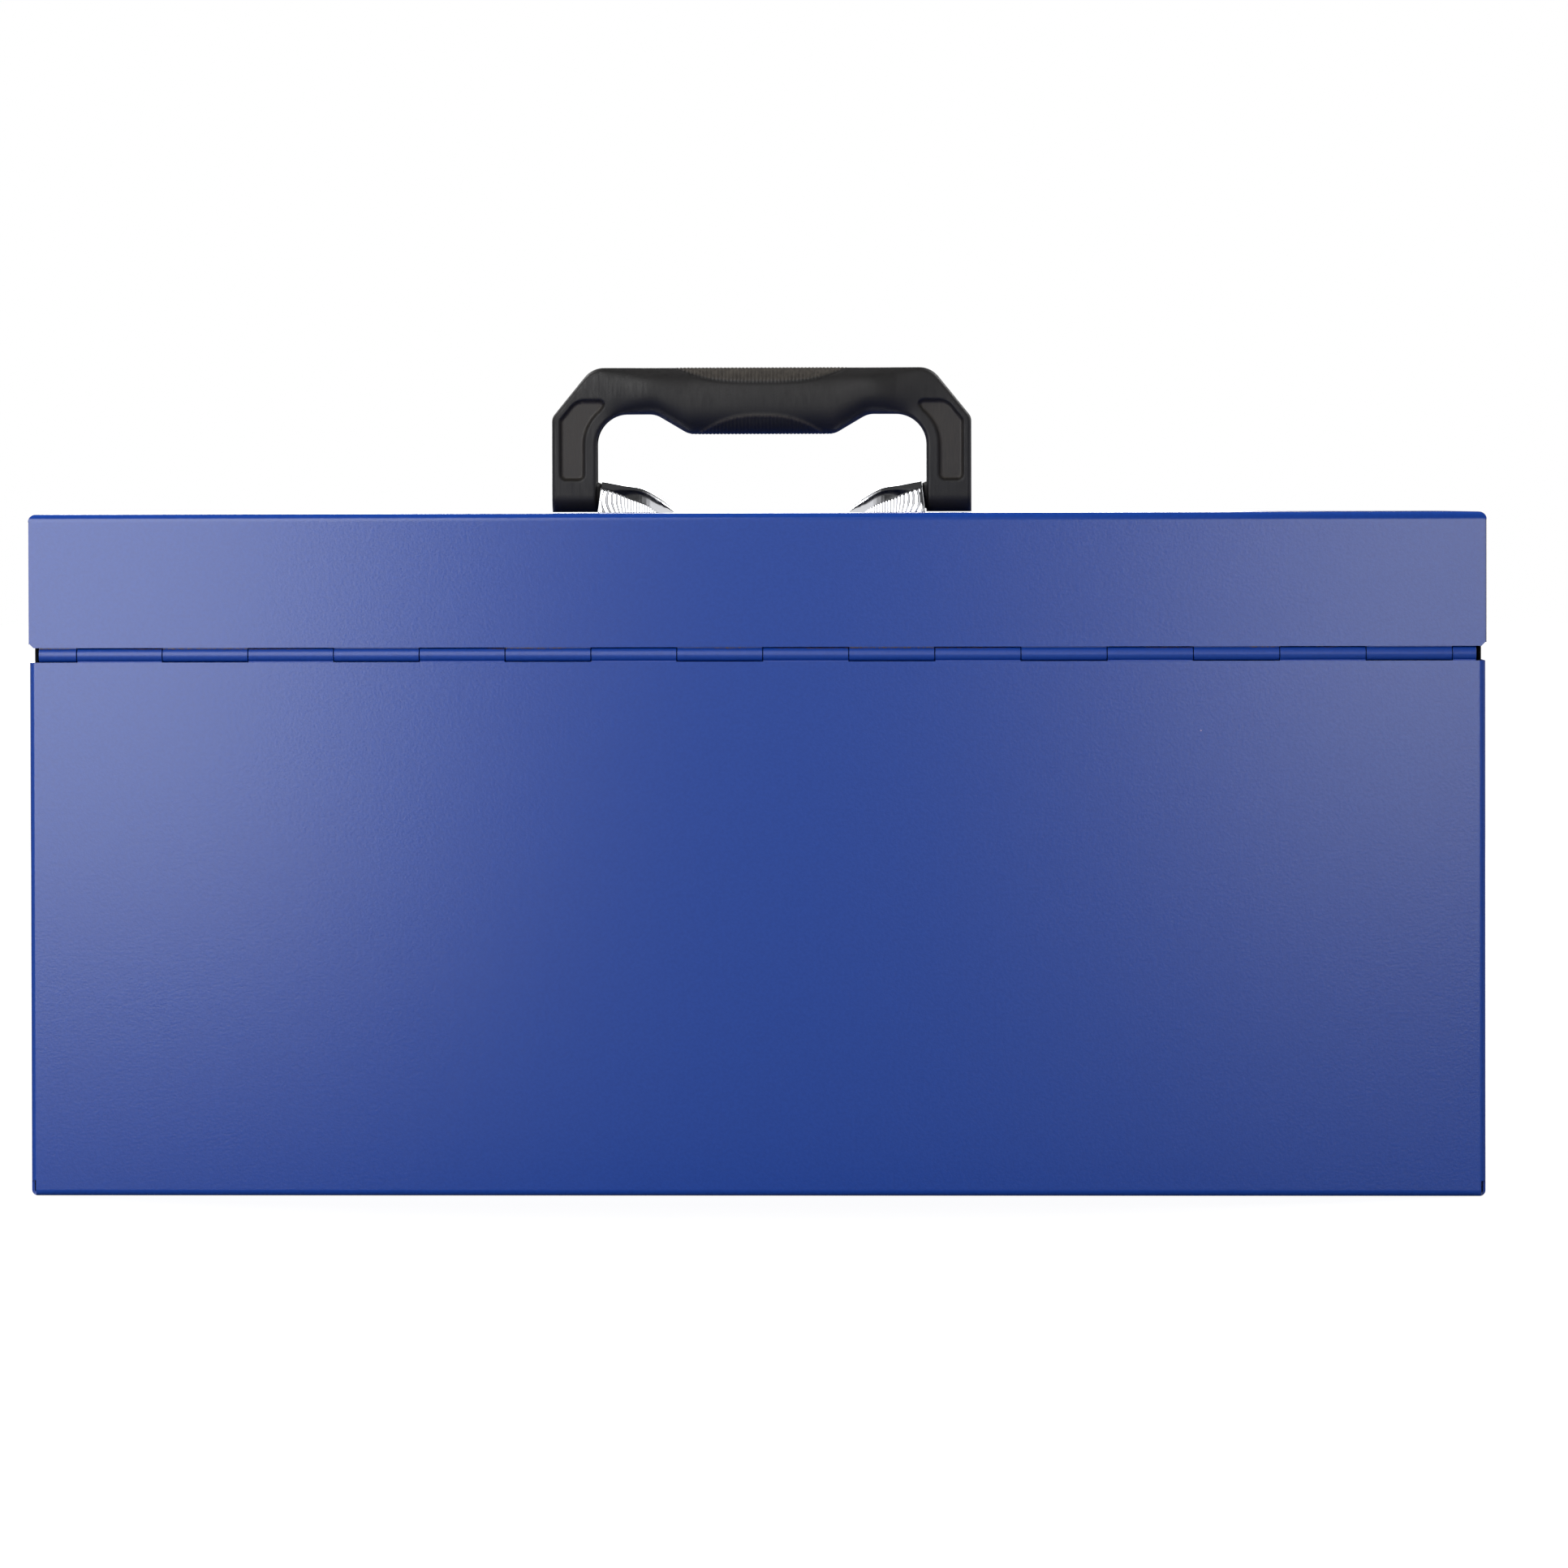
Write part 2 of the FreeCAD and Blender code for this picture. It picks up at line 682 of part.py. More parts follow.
def make_handle_clip():
    body = new_body("handle_clip_body")
    side = new_sketch(body, "XZ_Plane")
    polygon(side, [
        ("clip_mouth", "lid_top"),
        ("clip_mouth", "lid_top + clip_rise"),
        ("clip_shoulder", "lid_top + clip_shoulder_rise"),
        ("(clip_shoulder + clip_tail * 2) / 3", "lid_top + clip_shoulder_rise / 2"),
        ("clip_tail", "lid_top + clip_gauge"),
        ("clip_tail", "lid_top"),
    ])
    pad(body, side, "clip_width", both=True)
    level = number("lid_top")
    edge_place = number("clip_half_width")
    fillet(body, "clip_round",
           lambda edge: abs(abs(edge.CenterOfMass.y) - edge_place) < number("clip_gauge") * TINY_SHARE
           and edge.CenterOfMass.z > level + number("clip_gauge")
           and not runs_along(edge, ALONG_Z))
    hollow(body, "clip_gauge", level)
    # Tabs pass through the lid and its stiffener and are bent over below them.
    tabs = new_sketch(body, "XY_Plane", "clip_tab_low")
    hems = new_sketch(body, "XY_Plane", "clip_tab_low")
    for along in ("-", ""):
        inner_side = along + "clip_inner_half_width"
        rectangle(tabs, "clip_tab_far", inner_side, "clip_tab_near", along + "clip_half_width")
        rectangle(hems, "clip_tab_far", inner_side, "clip_tab_near",
                  along + "(clip_half_width + clip_tab_hem)")
    pad(body, tabs, "lid_top - clip_tab_low")
    pad(body, hems, "clip_gauge")
    hole = new_sketch(body, "YZ_Plane", "clip_mouth + overrun")
    circle(hole, "0", "handle_pivot_level", "handle_bore")
    pocket(body, hole, "overrun + clip_gauge * 2")
    keep(body, "handle_clip_right")
    keep(mirrored("handle_clip_mirror", body), "handle_clip_left")


def make_handle_pin():
    pin = doc.addObject("Part::Cylinder", "handle_pin_rod")
    pin.Placement = Placement(Vector(), Rotation(ALONG_Y, 90))
    pin.setExpression("Radius", linked("handle_pin_radius"))
    pin.setExpression("Height", linked("handle_pin_end - handle_pin_head"))
    shift(pin, "handle_pin_head", "0", "handle_pivot_level")
    head = doc.addObject("Part::Cylinder", "handle_pin_head_disc")
    head.Placement = Placement(Vector(), Rotation(ALONG_Y, 90))
    head.setExpression("Radius", linked("handle_pin_head_radius"))
    head.setExpression("Height", linked("handle_pin_head_length"))
    shift(head, "handle_pin_head", "0", "handle_pivot_level")
    whole = doc.addObject("Part::MultiFuse", "handle_pin_whole")
    whole.Shapes = [pin, head]
    keep(whole, "handle_pivot_pin_right")
    keep(mirrored("handle_pin_mirror", whole), "handle_pivot_pin_left")


def make_handle():
    body = new_body("handle_body")
    front = new_sketch(body, "XZ_Plane")
    right = [
        ("handle_half", "handle_low"),
        ("handle_half", "handle_chamfer_low"),
        ("handle_chamfer_half", "handle_top"),
    ]
    under = [
        ("handle_inner_half", "handle_low"),
        ("handle_inner_half", "handle_end_low"),
        ("handle_shoulder_half", "handle_end_low"),
        ("handle_middle_half", "handle_middle_low"),
    ]
    left = [("-" + across, up) for across, up in reversed(right)]
    under_left = [("-" + across, up) for across, up in under]
    polygon(front, right + left + under_left + list(reversed(under)))
    pad(body, front, "handle_grip_thickness", both=True)
    rounds = (
        ("handle_top_round", "handle_chamfer_half", "handle_top"),
        ("handle_top_round", "handle_half", "handle_chamfer_low"),
        ("handle_inner_round", "handle_inner_half", "handle_end_low"),
        ("handle_shoulder_round", "handle_shoulder_half", "handle_end_low"),
        ("handle_shoulder_round", "handle_middle_half", "handle_middle_low"),
    )
    for radius, across, up in rounds:
        fillet(body, radius, lambda edge: runs_along(edge, ALONG_Y)
               and abs(abs(edge.CenterOfMass.x) - number(across)) < number("overrun") * TINY_SHARE
               and near(edge, up=number(up)))
    # The legs are thinner than the grip, with a slope from one to the other.
    plan = new_sketch(body, "XY_Plane", "handle_low - overrun")
    leg, grip = "handle_leg_thickness / 2", "handle_grip_thickness / 2"
    for across in ("-", ""):
        for along in ("-", ""):
            polygon(plan, [
                (across + "handle_shoulder_half", along + grip),
                (across + "handle_shoulder_half", along + "(" + grip + " + overrun)"),
                (across + "(handle_half + overrun)", along + "(" + grip + " + overrun)"),
                (across + "(handle_half + overrun)", along + leg),
                (across + "handle_inner_half", along + leg),
            ])
    pocket(body, plan, "handle_top + overrun * 2", back=True)
    # The feet are round about the pivot, so that the handle can fold both ways.
    fillet(body, "(handle_leg_thickness - handle_foot_flat) / 2",
           lambda edge: runs_along(edge, ALONG_X) and near(edge, up=number("handle_low")))
    outline = [
        ("pocket_inner", "handle_foot_top"),
        ("pocket_outer", "handle_foot_top"),
        ("pocket_outer", "handle_chamfer_low"),
        ("(pocket_outer + pocket_inner) / 2", "handle_chamfer_low + handle_pocket_wall"),
        ("pocket_inner", "handle_chamfer_low"),
    ]
    pocket_plane = "(handle_leg_thickness / 2 - handle_pocket_depth + overrun)"
    for sign in ("", "-"):
        pockets = new_sketch(body, "XZ_Plane", sign + pocket_plane)
        for across in ("-", ""):
            polygon(pockets, [(across + "(" + place + ")", up) for place, up in outline])
        pocket(body, pockets, "overrun", back=bool(sign))
    for side in ("-", ""):
        collar = new_sketch(body, "YZ_Plane", side + "handle_collar_face")
        circle(collar, "0", "handle_pivot_level", "handle_collar_radius")
        pad(body, collar, "handle_collar_length + handle_leg / 2", back=bool(side))
        bore = new_sketch(body, "YZ_Plane", side + "(handle_collar_face - overrun)")
        circle(bore, "0", "handle_pivot_level", "handle_bore")
        pocket(body, bore, "handle_bore_end - handle_collar_face + overrun", back=not side)
    return keep(body, "handle")


def make_drawer(index):
    level = "sill_height + drawer_reveal + (front_height + drawer_reveal) * %d" % (index - 1)
    label = "drawer_%d" % index

    tray = new_body(label + "_tray_body")
    make_pan(tray, "tray_half", "-front_inner", "(tray_length - front_inner)",
             "tray_floor", "tray_height", "drawer_bend", "drawer_gauge")
    keep(shift(tray, up=level), label + "_tray")

    front = new_body(label + "_front_body")
    side = new_sketch(front, "YZ_Plane")
    polygon(side, [
        ("-half_depth", "0"),
        ("-half_depth", "front_height"),
        ("drawer_flange - half_depth", "front_height"),
        ("drawer_flange - half_depth", "front_height - drawer_gauge"),
        ("-front_inner", "front_height - drawer_gauge"),
        ("-front_inner", "drawer_gauge"),
        ("drawer_flange - half_depth", "drawer_gauge"),
        ("drawer_flange - half_depth", "0"),
    ])
    pad(front, side, "front_half * 2", both=True)
    doc.recompute()
    fillet(front, "drawer_bend / 2",
           lambda edge: runs_along(edge, ALONG_X) and near(edge, along=-number("half_depth")))
    keep(shift(front, up=level), label + "_front")

    pull = new_body(label + "_pull_body")
    side = new_sketch(pull, "YZ_Plane")
    polygon(side, [
        ("-half_depth", "pull_low"),
        ("-half_depth", "pull_top"),
        ("-pull_front", "pull_top"),
        ("-pull_front", "pull_nose_low"),
        ("pull_gauge - pull_front", "pull_nose_low"),
        ("pull_gauge - pull_front", "pull_top - pull_gauge"),
        ("-pull_face", "pull_top - pull_gauge"),
        ("-pull_face", "pull_low"),
    ])
    pad(pull, side, "pull_half * 2", both=True)
    fillet(pull, "pull_gauge / 2",
           lambda edge: runs_along(edge, ALONG_X) and near(edge, along=-number("pull_front")))
    keep(shift(pull, up=level), label + "_pull")

    cap = new_body(label + "_cap_body")
    side = new_sketch(cap, "YZ_Plane", "pull_half")
    polygon(side, [
        ("-half_depth", "pull_low"),
        ("-half_depth", "pull_top"),
        ("-pull_front", "pull_top"),
        ("-pull_front", "pull_nose_low"),
        ("-pull_face", "pull_low"),
    ])
    pad(cap, side, "pull_cap_length")
    fillet(cap, "pull_gauge / 2",
           lambda edge: runs_along(edge, ALONG_X) and near(edge, along=-number("pull_front")))
    caps = group(label + "_cap_pair", [cap, mirrored(label + "_cap_mirror", cap)])
    keep(shift(caps, up=level), label + "_pull_caps")

    runner = new_body(label + "_runner_body")
    end = new_sketch(runner, "XZ_Plane", "-slide_middle")
    polygon(end, [
        ("tray_half", "slide_level - runner_half"),
        ("runner_outer", "slide_level - runner_half"),
        ("runner_outer", "slide_level - runner_half + rail_gauge"),
        ("tray_half + rail_gauge", "slide_level - runner_half + rail_gauge"),
        ("tray_half + rail_gauge", "slide_level + runner_half - rail_gauge"),
        ("runner_outer", "slide_level + runner_half - rail_gauge"),
        ("runner_outer", "slide_level + runner_half"),
        ("tray_half", "slide_level + runner_half"),
    ])
    pad(runner, end, "slide_length", both=True)
    runners = group(label + "_runner_pair", [runner, mirrored(label + "_runner_mirror", runner)])
    keep(shift(runners, up=level), label + "_runners")

    rail = new_body(label + "_case_rail_body")
    end = new_sketch(rail, "XZ_Plane", "-slide_middle")
    polygon(end, [
        ("inner_half_width", "slide_level - case_rail_half"),
        ("case_rail_inner", "slide_level - case_rail_half"),
        ("case_rail_inner", "slide_level - case_rail_half + rail_gauge"),
        ("case_rail_web", "slide_level - case_rail_half + rail_gauge"),
        ("case_rail_web", "slide_level + case_rail_half - rail_gauge"),
        ("case_rail_inner", "slide_level + case_rail_half - rail_gauge"),
        ("case_rail_inner", "slide_level + case_rail_half"),
        ("inner_half_width", "slide_level + case_rail_half"),
    ])
    pad(rail, end, "slide_length", both=True)
    rails = group(label + "_case_rail_pair", [rail, mirrored(label + "_case_rail_mirror", rail)])
    keep(shift(rails, up=level), label + "_case_rails")

    cage = new_body(label + "_cage_body")
    end = new_sketch(cage, "XZ_Plane", "-slide_middle")
    polygon(end, [
        ("cage_outer", "slide_level - cage_half"),
        ("cage_inner", "slide_level - cage_half"),
        ("cage_inner", "slide_level - cage_half + cage_gauge"),
        ("cage_outer - cage_gauge", "slide_level - cage_half + cage_gauge"),
        ("cage_outer - cage_gauge", "slide_level + cage_half - cage_gauge"),
        ("cage_inner", "slide_level + cage_half - cage_gauge"),
        ("cage_inner", "slide_level + cage_half"),
        ("cage_outer", "slide_level + cage_half"),
    ])
    pad(cage, end, "cage_length", both=True)
    holes = new_sketch(cage, "XY_Plane", "slide_level")
    balls = []
    for step in range(BALLS_PER_RACE):
        offset = step - (BALLS_PER_RACE - 1) / 2
        along = "slide_middle + ball_pitch * %g" % offset
        circle(holes, "ball_place", along, "ball_radius + ball_clearance")
        for race, sign in (("low", "-"), ("high", "+")):
            ball = doc.addObject("Part::Sphere", "%s_ball_%s_%d" % (label, race, step))
            ball.setExpression("Radius", linked("ball_radius"))
            shift(ball, "ball_place", along, "slide_level %s ball_level" % sign)
            balls += [ball, mirrored(ball.Name + "_mirror", ball)]
    pocket(cage, holes, "case_rail_height", both=True)
    cages = group(label + "_cage_pair", [cage, mirrored(label + "_cage_mirror", cage)])
    keep(shift(cages, up=level), label + "_ball_cages")
    keep(shift(group(label + "_ball_set", balls), up=level), label + "_balls")


def make_latch(side, sign):
    across = sign + "latch_spacing / 2"

    base = new_body("latch_base_%s_body" % side)
    plate = new_sketch(base, "YZ_Plane")
    rectangle(plate, "-latch_face", "latch_low", "-half_depth", "latch_high")
    pad(base, plate, "latch_base_width", both=True)
    ear = new_sketch(base, "YZ_Plane")
    rectangle(ear, "-latch_pivot_place", "latch_pivot_level - latch_ear_radius",
              "-latch_face", "latch_pivot_level + latch_ear_radius")
    pad(base, ear, "latch_ear_span", both=True)
    tip = new_sketch(base, "YZ_Plane")
    circle(tip, "-latch_pivot_place", "latch_pivot_level", "latch_ear_radius")
    pad(base, tip, "latch_ear_span", both=True)
    gap = new_sketch(base, "YZ_Plane")
    rectangle(gap, "-latch_pivot_place - latch_ear_radius - overrun", "latch_low",
              "-latch_face", "latch_high")
    pocket(base, gap, "latch_ear_inner * 2", both=True)
    hole = new_sketch(base, "YZ_Plane")
    circle(hole, "-latch_pivot_place", "latch_pivot_level", "latch_hole")
    pocket(base, hole, "latch_base_width", both=True)
    rivets = new_sketch(base, "XZ_Plane")
    for level in ("latch_low + rivet_inset", "latch_high - rivet_inset"):
        circle(rivets, "0", level, "rivet_hole")
    pocket(base, rivets, "half_depth + overrun", back=True)
    keep(shift(base, across), "latch_base_" + side)

    pivot = doc.addObject("Part::Cylinder", "latch_pivot_%s_rod" % side)
    pivot.Placement = Placement(Vector(), Rotation(ALONG_Y, 90))
    pivot.setExpression("Radius", linked("latch_pivot_radius"))
    pivot.setExpression("Height", linked("lever_width"))
    shift(pivot, across + " - lever_half", "-latch_pivot_place", "latch_pivot_level")
    keep(pivot, "latch_pivot_" + side)

    lever = new_body("latch_lever_%s_body" % side)
    cheek = new_sketch(lever, "YZ_Plane")
    corners = (
        ("- lever_face", "- lever_skirt"),
        ("- lever_face", "- lever_shoulder"),
        ("- lever_stand", "- lever_shoulder"),
        ("- lever_eye_radius", "+ 0"),
        ("+ lever_eye_radius", "+ 0"),
        ("+ bail_hook_back + bail_wire_radius * 2", "- bail_hook_drop"),
        ("+ bail_hook_back + bail_wire_radius", "- bail_hook_drop - bail_wire_radius * 2"),
        ("+ 0", "- lever_skirt"),
    )
    polygon(cheek, [("-latch_pivot_place " + along, "latch_pivot_level " + up) for along, up in corners])
    pad(lever, cheek, "lever_width", both=True)
    eye = new_sketch(lever, "YZ_Plane")
    circle(eye, "-latch_pivot_place", "latch_pivot_level", "lever_eye_radius")
    pad(lever, eye, "lever_width", both=True)
    inside = new_sketch(lever, "YZ_Plane")
    rectangle(inside, "-latch_pivot_place - lever_stand", "latch_pivot_level - lever_skirt - overrun",
              "-half_depth", "latch_pivot_level + lever_eye_radius + overrun")
    pocket(lever, inside, "lever_inner * 2", both=True)
    tongue = new_sketch(lever, "YZ_Plane")
    corners = (
        ("- lever_face", "- lever_skirt"),
        ("- lever_stand", "- lever_skirt"),
        ("- lever_stand", "- lever_length"),
        ("- lever_face - lever_curl", "- lever_length - lever_curl"),
        ("- lever_face - lever_curl", "- lever_length - lever_curl + latch_gauge"),
        ("- lever_face", "- lever_length + latch_gauge / 2"),
    )
    polygon(tongue, [("-latch_pivot_place " + along, "latch_pivot_level " + up) for along, up in corners])
    pad(lever, tongue, "lever_width", both=True)
    holes = new_sketch(lever, "YZ_Plane")
    circle(holes, "-latch_pivot_place", "latch_pivot_level", "latch_hole")
    circle(holes, "-bail_pivot_place", "bail_pivot_level", "bail_hole")
    pocket(lever, holes, "lever_width + overrun", both=True)
    keep(shift(lever, across), "latch_lever_" + side)

    keep(make_bail(side), "latch_bail_" + side)
    nodes["latch_bail_" + side].setExpression("Placement.Base.x", linked(across))


def make_bail(side):
    # Round wire: up from one lever eye, across the bar and down to the other eye.
    half = number("bail_width") / 2
    bend = number("bail_bend")
    foot = Vector(0, -number("bail_pivot_place"), number("bail_pivot_level"))
    bar = Vector(0, -number("bail_bar_place"), number("bail_bar_level"))
    rise = bar - foot
    up = Vector(rise).normalize()
    inner_end = number("lever_inner") + number("pivot_clearance")

    def spot(across, height):
        return foot + Vector(across, 0, 0) + up * height

    quarter_share = 1 - math.sqrt(0.5)
    tall = rise.Length
    hook = number("bail_wire_radius")
    edges = [
        Part.makeLine(spot(-inner_end, 0), spot(-half + hook, 0)),
        Part.Arc(spot(-half + hook, 0), spot(-half + hook * quarter_share, hook * quarter_share),
                 spot(-half, hook)).toShape(),
        Part.makeLine(spot(-half, hook), spot(-half, tall - bend)),
        Part.Arc(spot(-half, tall - bend), spot(-half + bend * quarter_share, tall - bend * quarter_share),
                 spot(-half + bend, tall)).toShape(),
        Part.makeLine(spot(-half + bend, tall), spot(half - bend, tall)),
        Part.Arc(spot(half - bend, tall), spot(half - bend * quarter_share, tall - bend * quarter_share),
                 spot(half, tall - bend)).toShape(),
        Part.makeLine(spot(half, tall - bend), spot(half, hook)),
        Part.Arc(spot(half, hook), spot(half - hook * quarter_share, hook * quarter_share),
                 spot(half - hook, 0)).toShape(),
        Part.makeLine(spot(half - hook, 0), spot(inner_end, 0)),
    ]
    path = Part.Wire(edges)
    section = Part.Wire(Part.makeCircle(number("bail_wire_radius"), spot(-inner_end, 0), ALONG_X))
    item = doc.addObject("Part::Feature", "latch_bail_%s_wire" % side)
    item.Shape = path.makePipeShell([section], True, False)
    return item


def make_strike(side, sign):
    body = new_body("strike_%s_body" % side)
    profile = new_sketch(body, "YZ_Plane")
    polygon(profile, [
        ("-lid_front", "strike_low"),
        ("-lid_front", "strike_high"),
        ("-strike_face", "strike_high"),
        ("-strike_face", "strike_shelf + latch_gauge"),
        ("-strike_nose_inner", "strike_shelf + latch_gauge"),
        ("-strike_nose_inner", "strike_nose_top"),
        ("-strike_nose_outer", "strike_nose_top"),
        ("-strike_nose_outer", "strike_shelf"),
        ("-strike_face", "strike_shelf"),
        ("-strike_face", "strike_low"),
    ])
    pad(body, profile, "strike_width", both=True)
    holes = new_sketch(body, "XZ_Plane")
    for step in ("-", ""):
        circle(holes, step + "strike_rivet_spacing / 2", "strike_high - rivet_inset", "rivet_hole")
    pocket(body, holes, "lid_front + overrun", back=True)
    keep(shift(body, sign + "latch_spacing / 2"), "strike_" + side)


def make_rivet(name, grip):
    # Domed head on top, grip below it and an upset tail.
    body = new_body(name + "_body")
    shank = new_sketch(body, "XY_Plane")
    circle(shank, "0", "0", "rivet_radius")
    pad(body, shank, grip, back=True)
    head = new_sketch(body, "XY_Plane")
    circle(head, "0", "0", "rivet_head_radius")
    pad(body, head, "rivet_head_height")
    doc.recompute()
    top = number("rivet_head_height")
    fillet(body, "rivet_head_height * 0.75", lambda edge: near(edge, up=top))
    tail = new_sketch(body, "XY_Plane", "-(" + grip + ")")
    circle(tail, "0", "0", "rivet_tail_radius")
    pad(body, tail, "rivet_tail_height", back=True)
    return body


def make_rivets():
    out_of_front = Rotation(ALONG_X, 90)
    latch = []
    for side in ("-", ""):
        for level in ("latch_low + rivet_inset", "latch_high - rivet_inset"):
            rivet = make_rivet("latch_rivet_%d" % len(latch), "latch_gauge + sheet_gauge")
            rivet.Placement = Placement(Vector(), out_of_front)
            latch.append(shift(rivet, side + "latch_spacing / 2", "-latch_face", level))
    keep(group("latch_rivet_set", latch), "latch_rivets")
    strike = []
    for side in ("-", ""):
        for step in ("-", "+"):
            rivet = make_rivet("strike_rivet_%d" % len(strike), "latch_gauge + sheet_gauge")
            rivet.Placement = Placement(Vector(), out_of_front)
            place = side + "latch_spacing / 2 " + step + " strike_rivet_spacing / 2"
            strike.append(shift(rivet, place, "-strike_face", "strike_high - rivet_inset"))
    keep(group("strike_rivet_set", strike), "strike_rivets")


def make_padlock_eyes():
    outlines = {
        "padlock_eye_lower": [
            ("-half_depth", "lower_eye_top - eye_plate_height"),
            ("-half_depth", "lower_eye_top"),
            ("-eye_front", "lower_eye_top"),
            ("-eye_front", "lower_eye_tab"),
            ("-lower_eye_face", "lower_eye_tab"),
            ("-lower_eye_face", "lower_eye_top - eye_plate_height"),
        ],
        "padlock_eye_upper": [
            ("-lid_front", "upper_eye_low"),
            ("-lid_front", "upper_eye_low + eye_plate_height"),
            ("-upper_eye_face", "upper_eye_low + eye_plate_height"),
            ("-upper_eye_face", "upper_eye_tab"),
            ("-eye_front", "upper_eye_tab"),
            ("-eye_front", "upper_eye_low"),
        ],
    }
    for label, outline in outlines.items():
        body = new_body(label + "_body")
        profile = new_sketch(body, "YZ_Plane")
        polygon(profile, outline)
        pad(body, profile, "eye_width", both=True)
        fillet(body, "eye_corner",
               lambda edge: runs_along(edge, ALONG_Z) and near(edge, along=-number("eye_front")))
        hole = new_sketch(body, "XY_Plane")
        circle(hole, "0", "-eye_place", "eye_hole_radius")
        pocket(body, hole, "lid_top", back=True)
        keep(body, label)


make_body_shell()
make_front_header()
make_inner_rim()
make_till_floor()
make_hinge()
make_lid_shell()
make_lid_stiffener()
make_handle_clip()
make_handle_pin()
make_handle()
for drawer in range(1, DRAWER_COUNT + 1):
    make_drawer(drawer)
for side, sign in (("left", "-"), ("right", "")):
    make_latch(side, sign)
    make_strike(side, sign)
make_rivets()
make_padlock_eyes()
doc.recompute()

for item in doc.Objects:
    if "Invalid" in item.State or "Error" in item.State:
        raise RuntimeError(item.Name + " failed: " + str(item.State))
for label, item in nodes.items():
    if item.Shape.isNull() or not item.Shape.isValid():
        raise RuntimeError(label + " has no valid shape")

os.makedirs("parts", exist_ok=True)
for label, item in nodes.items():
    item.Shape.exportStep("parts/%s.step" % label)
print("wrote", len(nodes), "nodes")
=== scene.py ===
import bmesh
import bpy
import json
import math
from mathutils import Euler, Matrix, Vector

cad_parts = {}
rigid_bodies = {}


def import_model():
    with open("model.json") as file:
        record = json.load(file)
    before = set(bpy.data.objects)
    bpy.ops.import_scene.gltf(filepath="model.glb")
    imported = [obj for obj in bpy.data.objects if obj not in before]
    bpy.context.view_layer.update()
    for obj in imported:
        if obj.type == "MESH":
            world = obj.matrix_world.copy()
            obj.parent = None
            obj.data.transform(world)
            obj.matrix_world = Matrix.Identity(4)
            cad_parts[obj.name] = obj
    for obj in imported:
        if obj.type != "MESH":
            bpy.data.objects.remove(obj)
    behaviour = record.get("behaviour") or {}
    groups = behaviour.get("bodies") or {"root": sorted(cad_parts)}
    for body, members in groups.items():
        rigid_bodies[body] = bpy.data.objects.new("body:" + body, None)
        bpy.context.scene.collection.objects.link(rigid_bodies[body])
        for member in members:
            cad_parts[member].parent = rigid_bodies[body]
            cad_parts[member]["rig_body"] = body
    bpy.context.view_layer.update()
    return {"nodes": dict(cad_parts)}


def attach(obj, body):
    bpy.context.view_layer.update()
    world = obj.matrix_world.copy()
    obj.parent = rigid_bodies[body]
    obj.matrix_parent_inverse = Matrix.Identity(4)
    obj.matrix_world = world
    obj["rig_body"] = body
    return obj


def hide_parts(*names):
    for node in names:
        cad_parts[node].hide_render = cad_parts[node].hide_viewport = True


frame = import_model()

# A steel tool box with drawers, seen from behind. Metres; +Z up, drawers open towards -Y.
mm = 0.001
touch = 0.1  # mm; a face or an edge this near a wall lies in it
weld = 1e-6  # metres
onPlane = 1e-7  # metres; a cut takes a corner this near as lying in it
softEdge = {"segments": 2, "over": 40}  # bevels the edges that turn by more than so many degrees
nodes = frame["nodes"]
print("frame loaded,", len(nodes), "CAD nodes")


# Helpers

def linear(hexColour):
    # sRGB hex to the linear values that a socket takes
    parts = [int(hexColour[i:i + 2], 16) / 255 for i in (1, 3, 5)]
    return [p / 12.92 if p <= 0.04045 else ((p + 0.055) / 1.055) ** 2.4 for p in parts] + [1.0]


def addNode(tree, kind, settings=None, links=None):
    # settings: inputs by name or number, or the node's own values; links: inputs fed by other nodes
    node = tree.nodes.new("ShaderNode" + kind)
    for name, value in (settings or {}).items():
        if isinstance(name, str) and hasattr(node, name):
            setattr(node, name, value)
    for name, value in (settings or {}).items():
        if not (isinstance(name, str) and hasattr(node, name)):
            node.inputs[name].default_value = value
    for name, source in (links or {}).items():
        tree.links.new(source, node.inputs[name])
    return node


def newMaterial(name, colour, roughness, metallic=0.0, **sockets):
    material = bpy.data.materials.new(name)
    material.use_nodes = True
    tree = material.node_tree
    shader = tree.nodes["Principled BSDF"]
    shader.inputs["Base Color"].default_value = linear(colour)
    shader.inputs["Roughness"].default_value = roughness
    shader.inputs["Metallic"].default_value = metallic
    for socket, value in sockets.items():
        shader.inputs[socket.replace("_", " ")].default_value = value
    coords = addNode(tree, "TexCoord").outputs["Object"]
    return material, tree, shader, coords


def noise(tree, vector, sizeMm, detail=2.0, roughness=0.5):
    # noise whose features are about sizeMm across
    return addNode(tree, "TexNoise", {"Scale": 1 / (sizeMm * mm), "Detail": detail, "Roughness": roughness},
                   {"Vector": vector}).outputs[0]


def stretched(tree, vector, scale):
    return addNode(tree, "Mapping", {"Scale": scale}, {"Vector": vector}).outputs[0]


def ramp(tree, value, low, high, toLow=0.0, toHigh=1.0):
    return addNode(tree, "MapRange", {"From Min": low, "From Max": high, "To Min": toLow, "To Max": toHigh},
                   {"Value": value}).outputs[0]


def mixColour(tree, share, first, second):
    node = addNode(tree, "Mix", {"data_type": "RGBA"})
    for index, colour in ((6, first), (7, second)):
        if isinstance(colour, str):
            node.inputs[index].default_value = linear(colour)
        else:
            tree.links.new(colour, node.inputs[index])
    tree.links.new(share, node.inputs[0])
    return node.outputs[2]


def times(tree, first, second):
    return addNode(tree, "Math", {"operation": "MULTIPLY"}, {0: first, 1: second}).outputs[0]


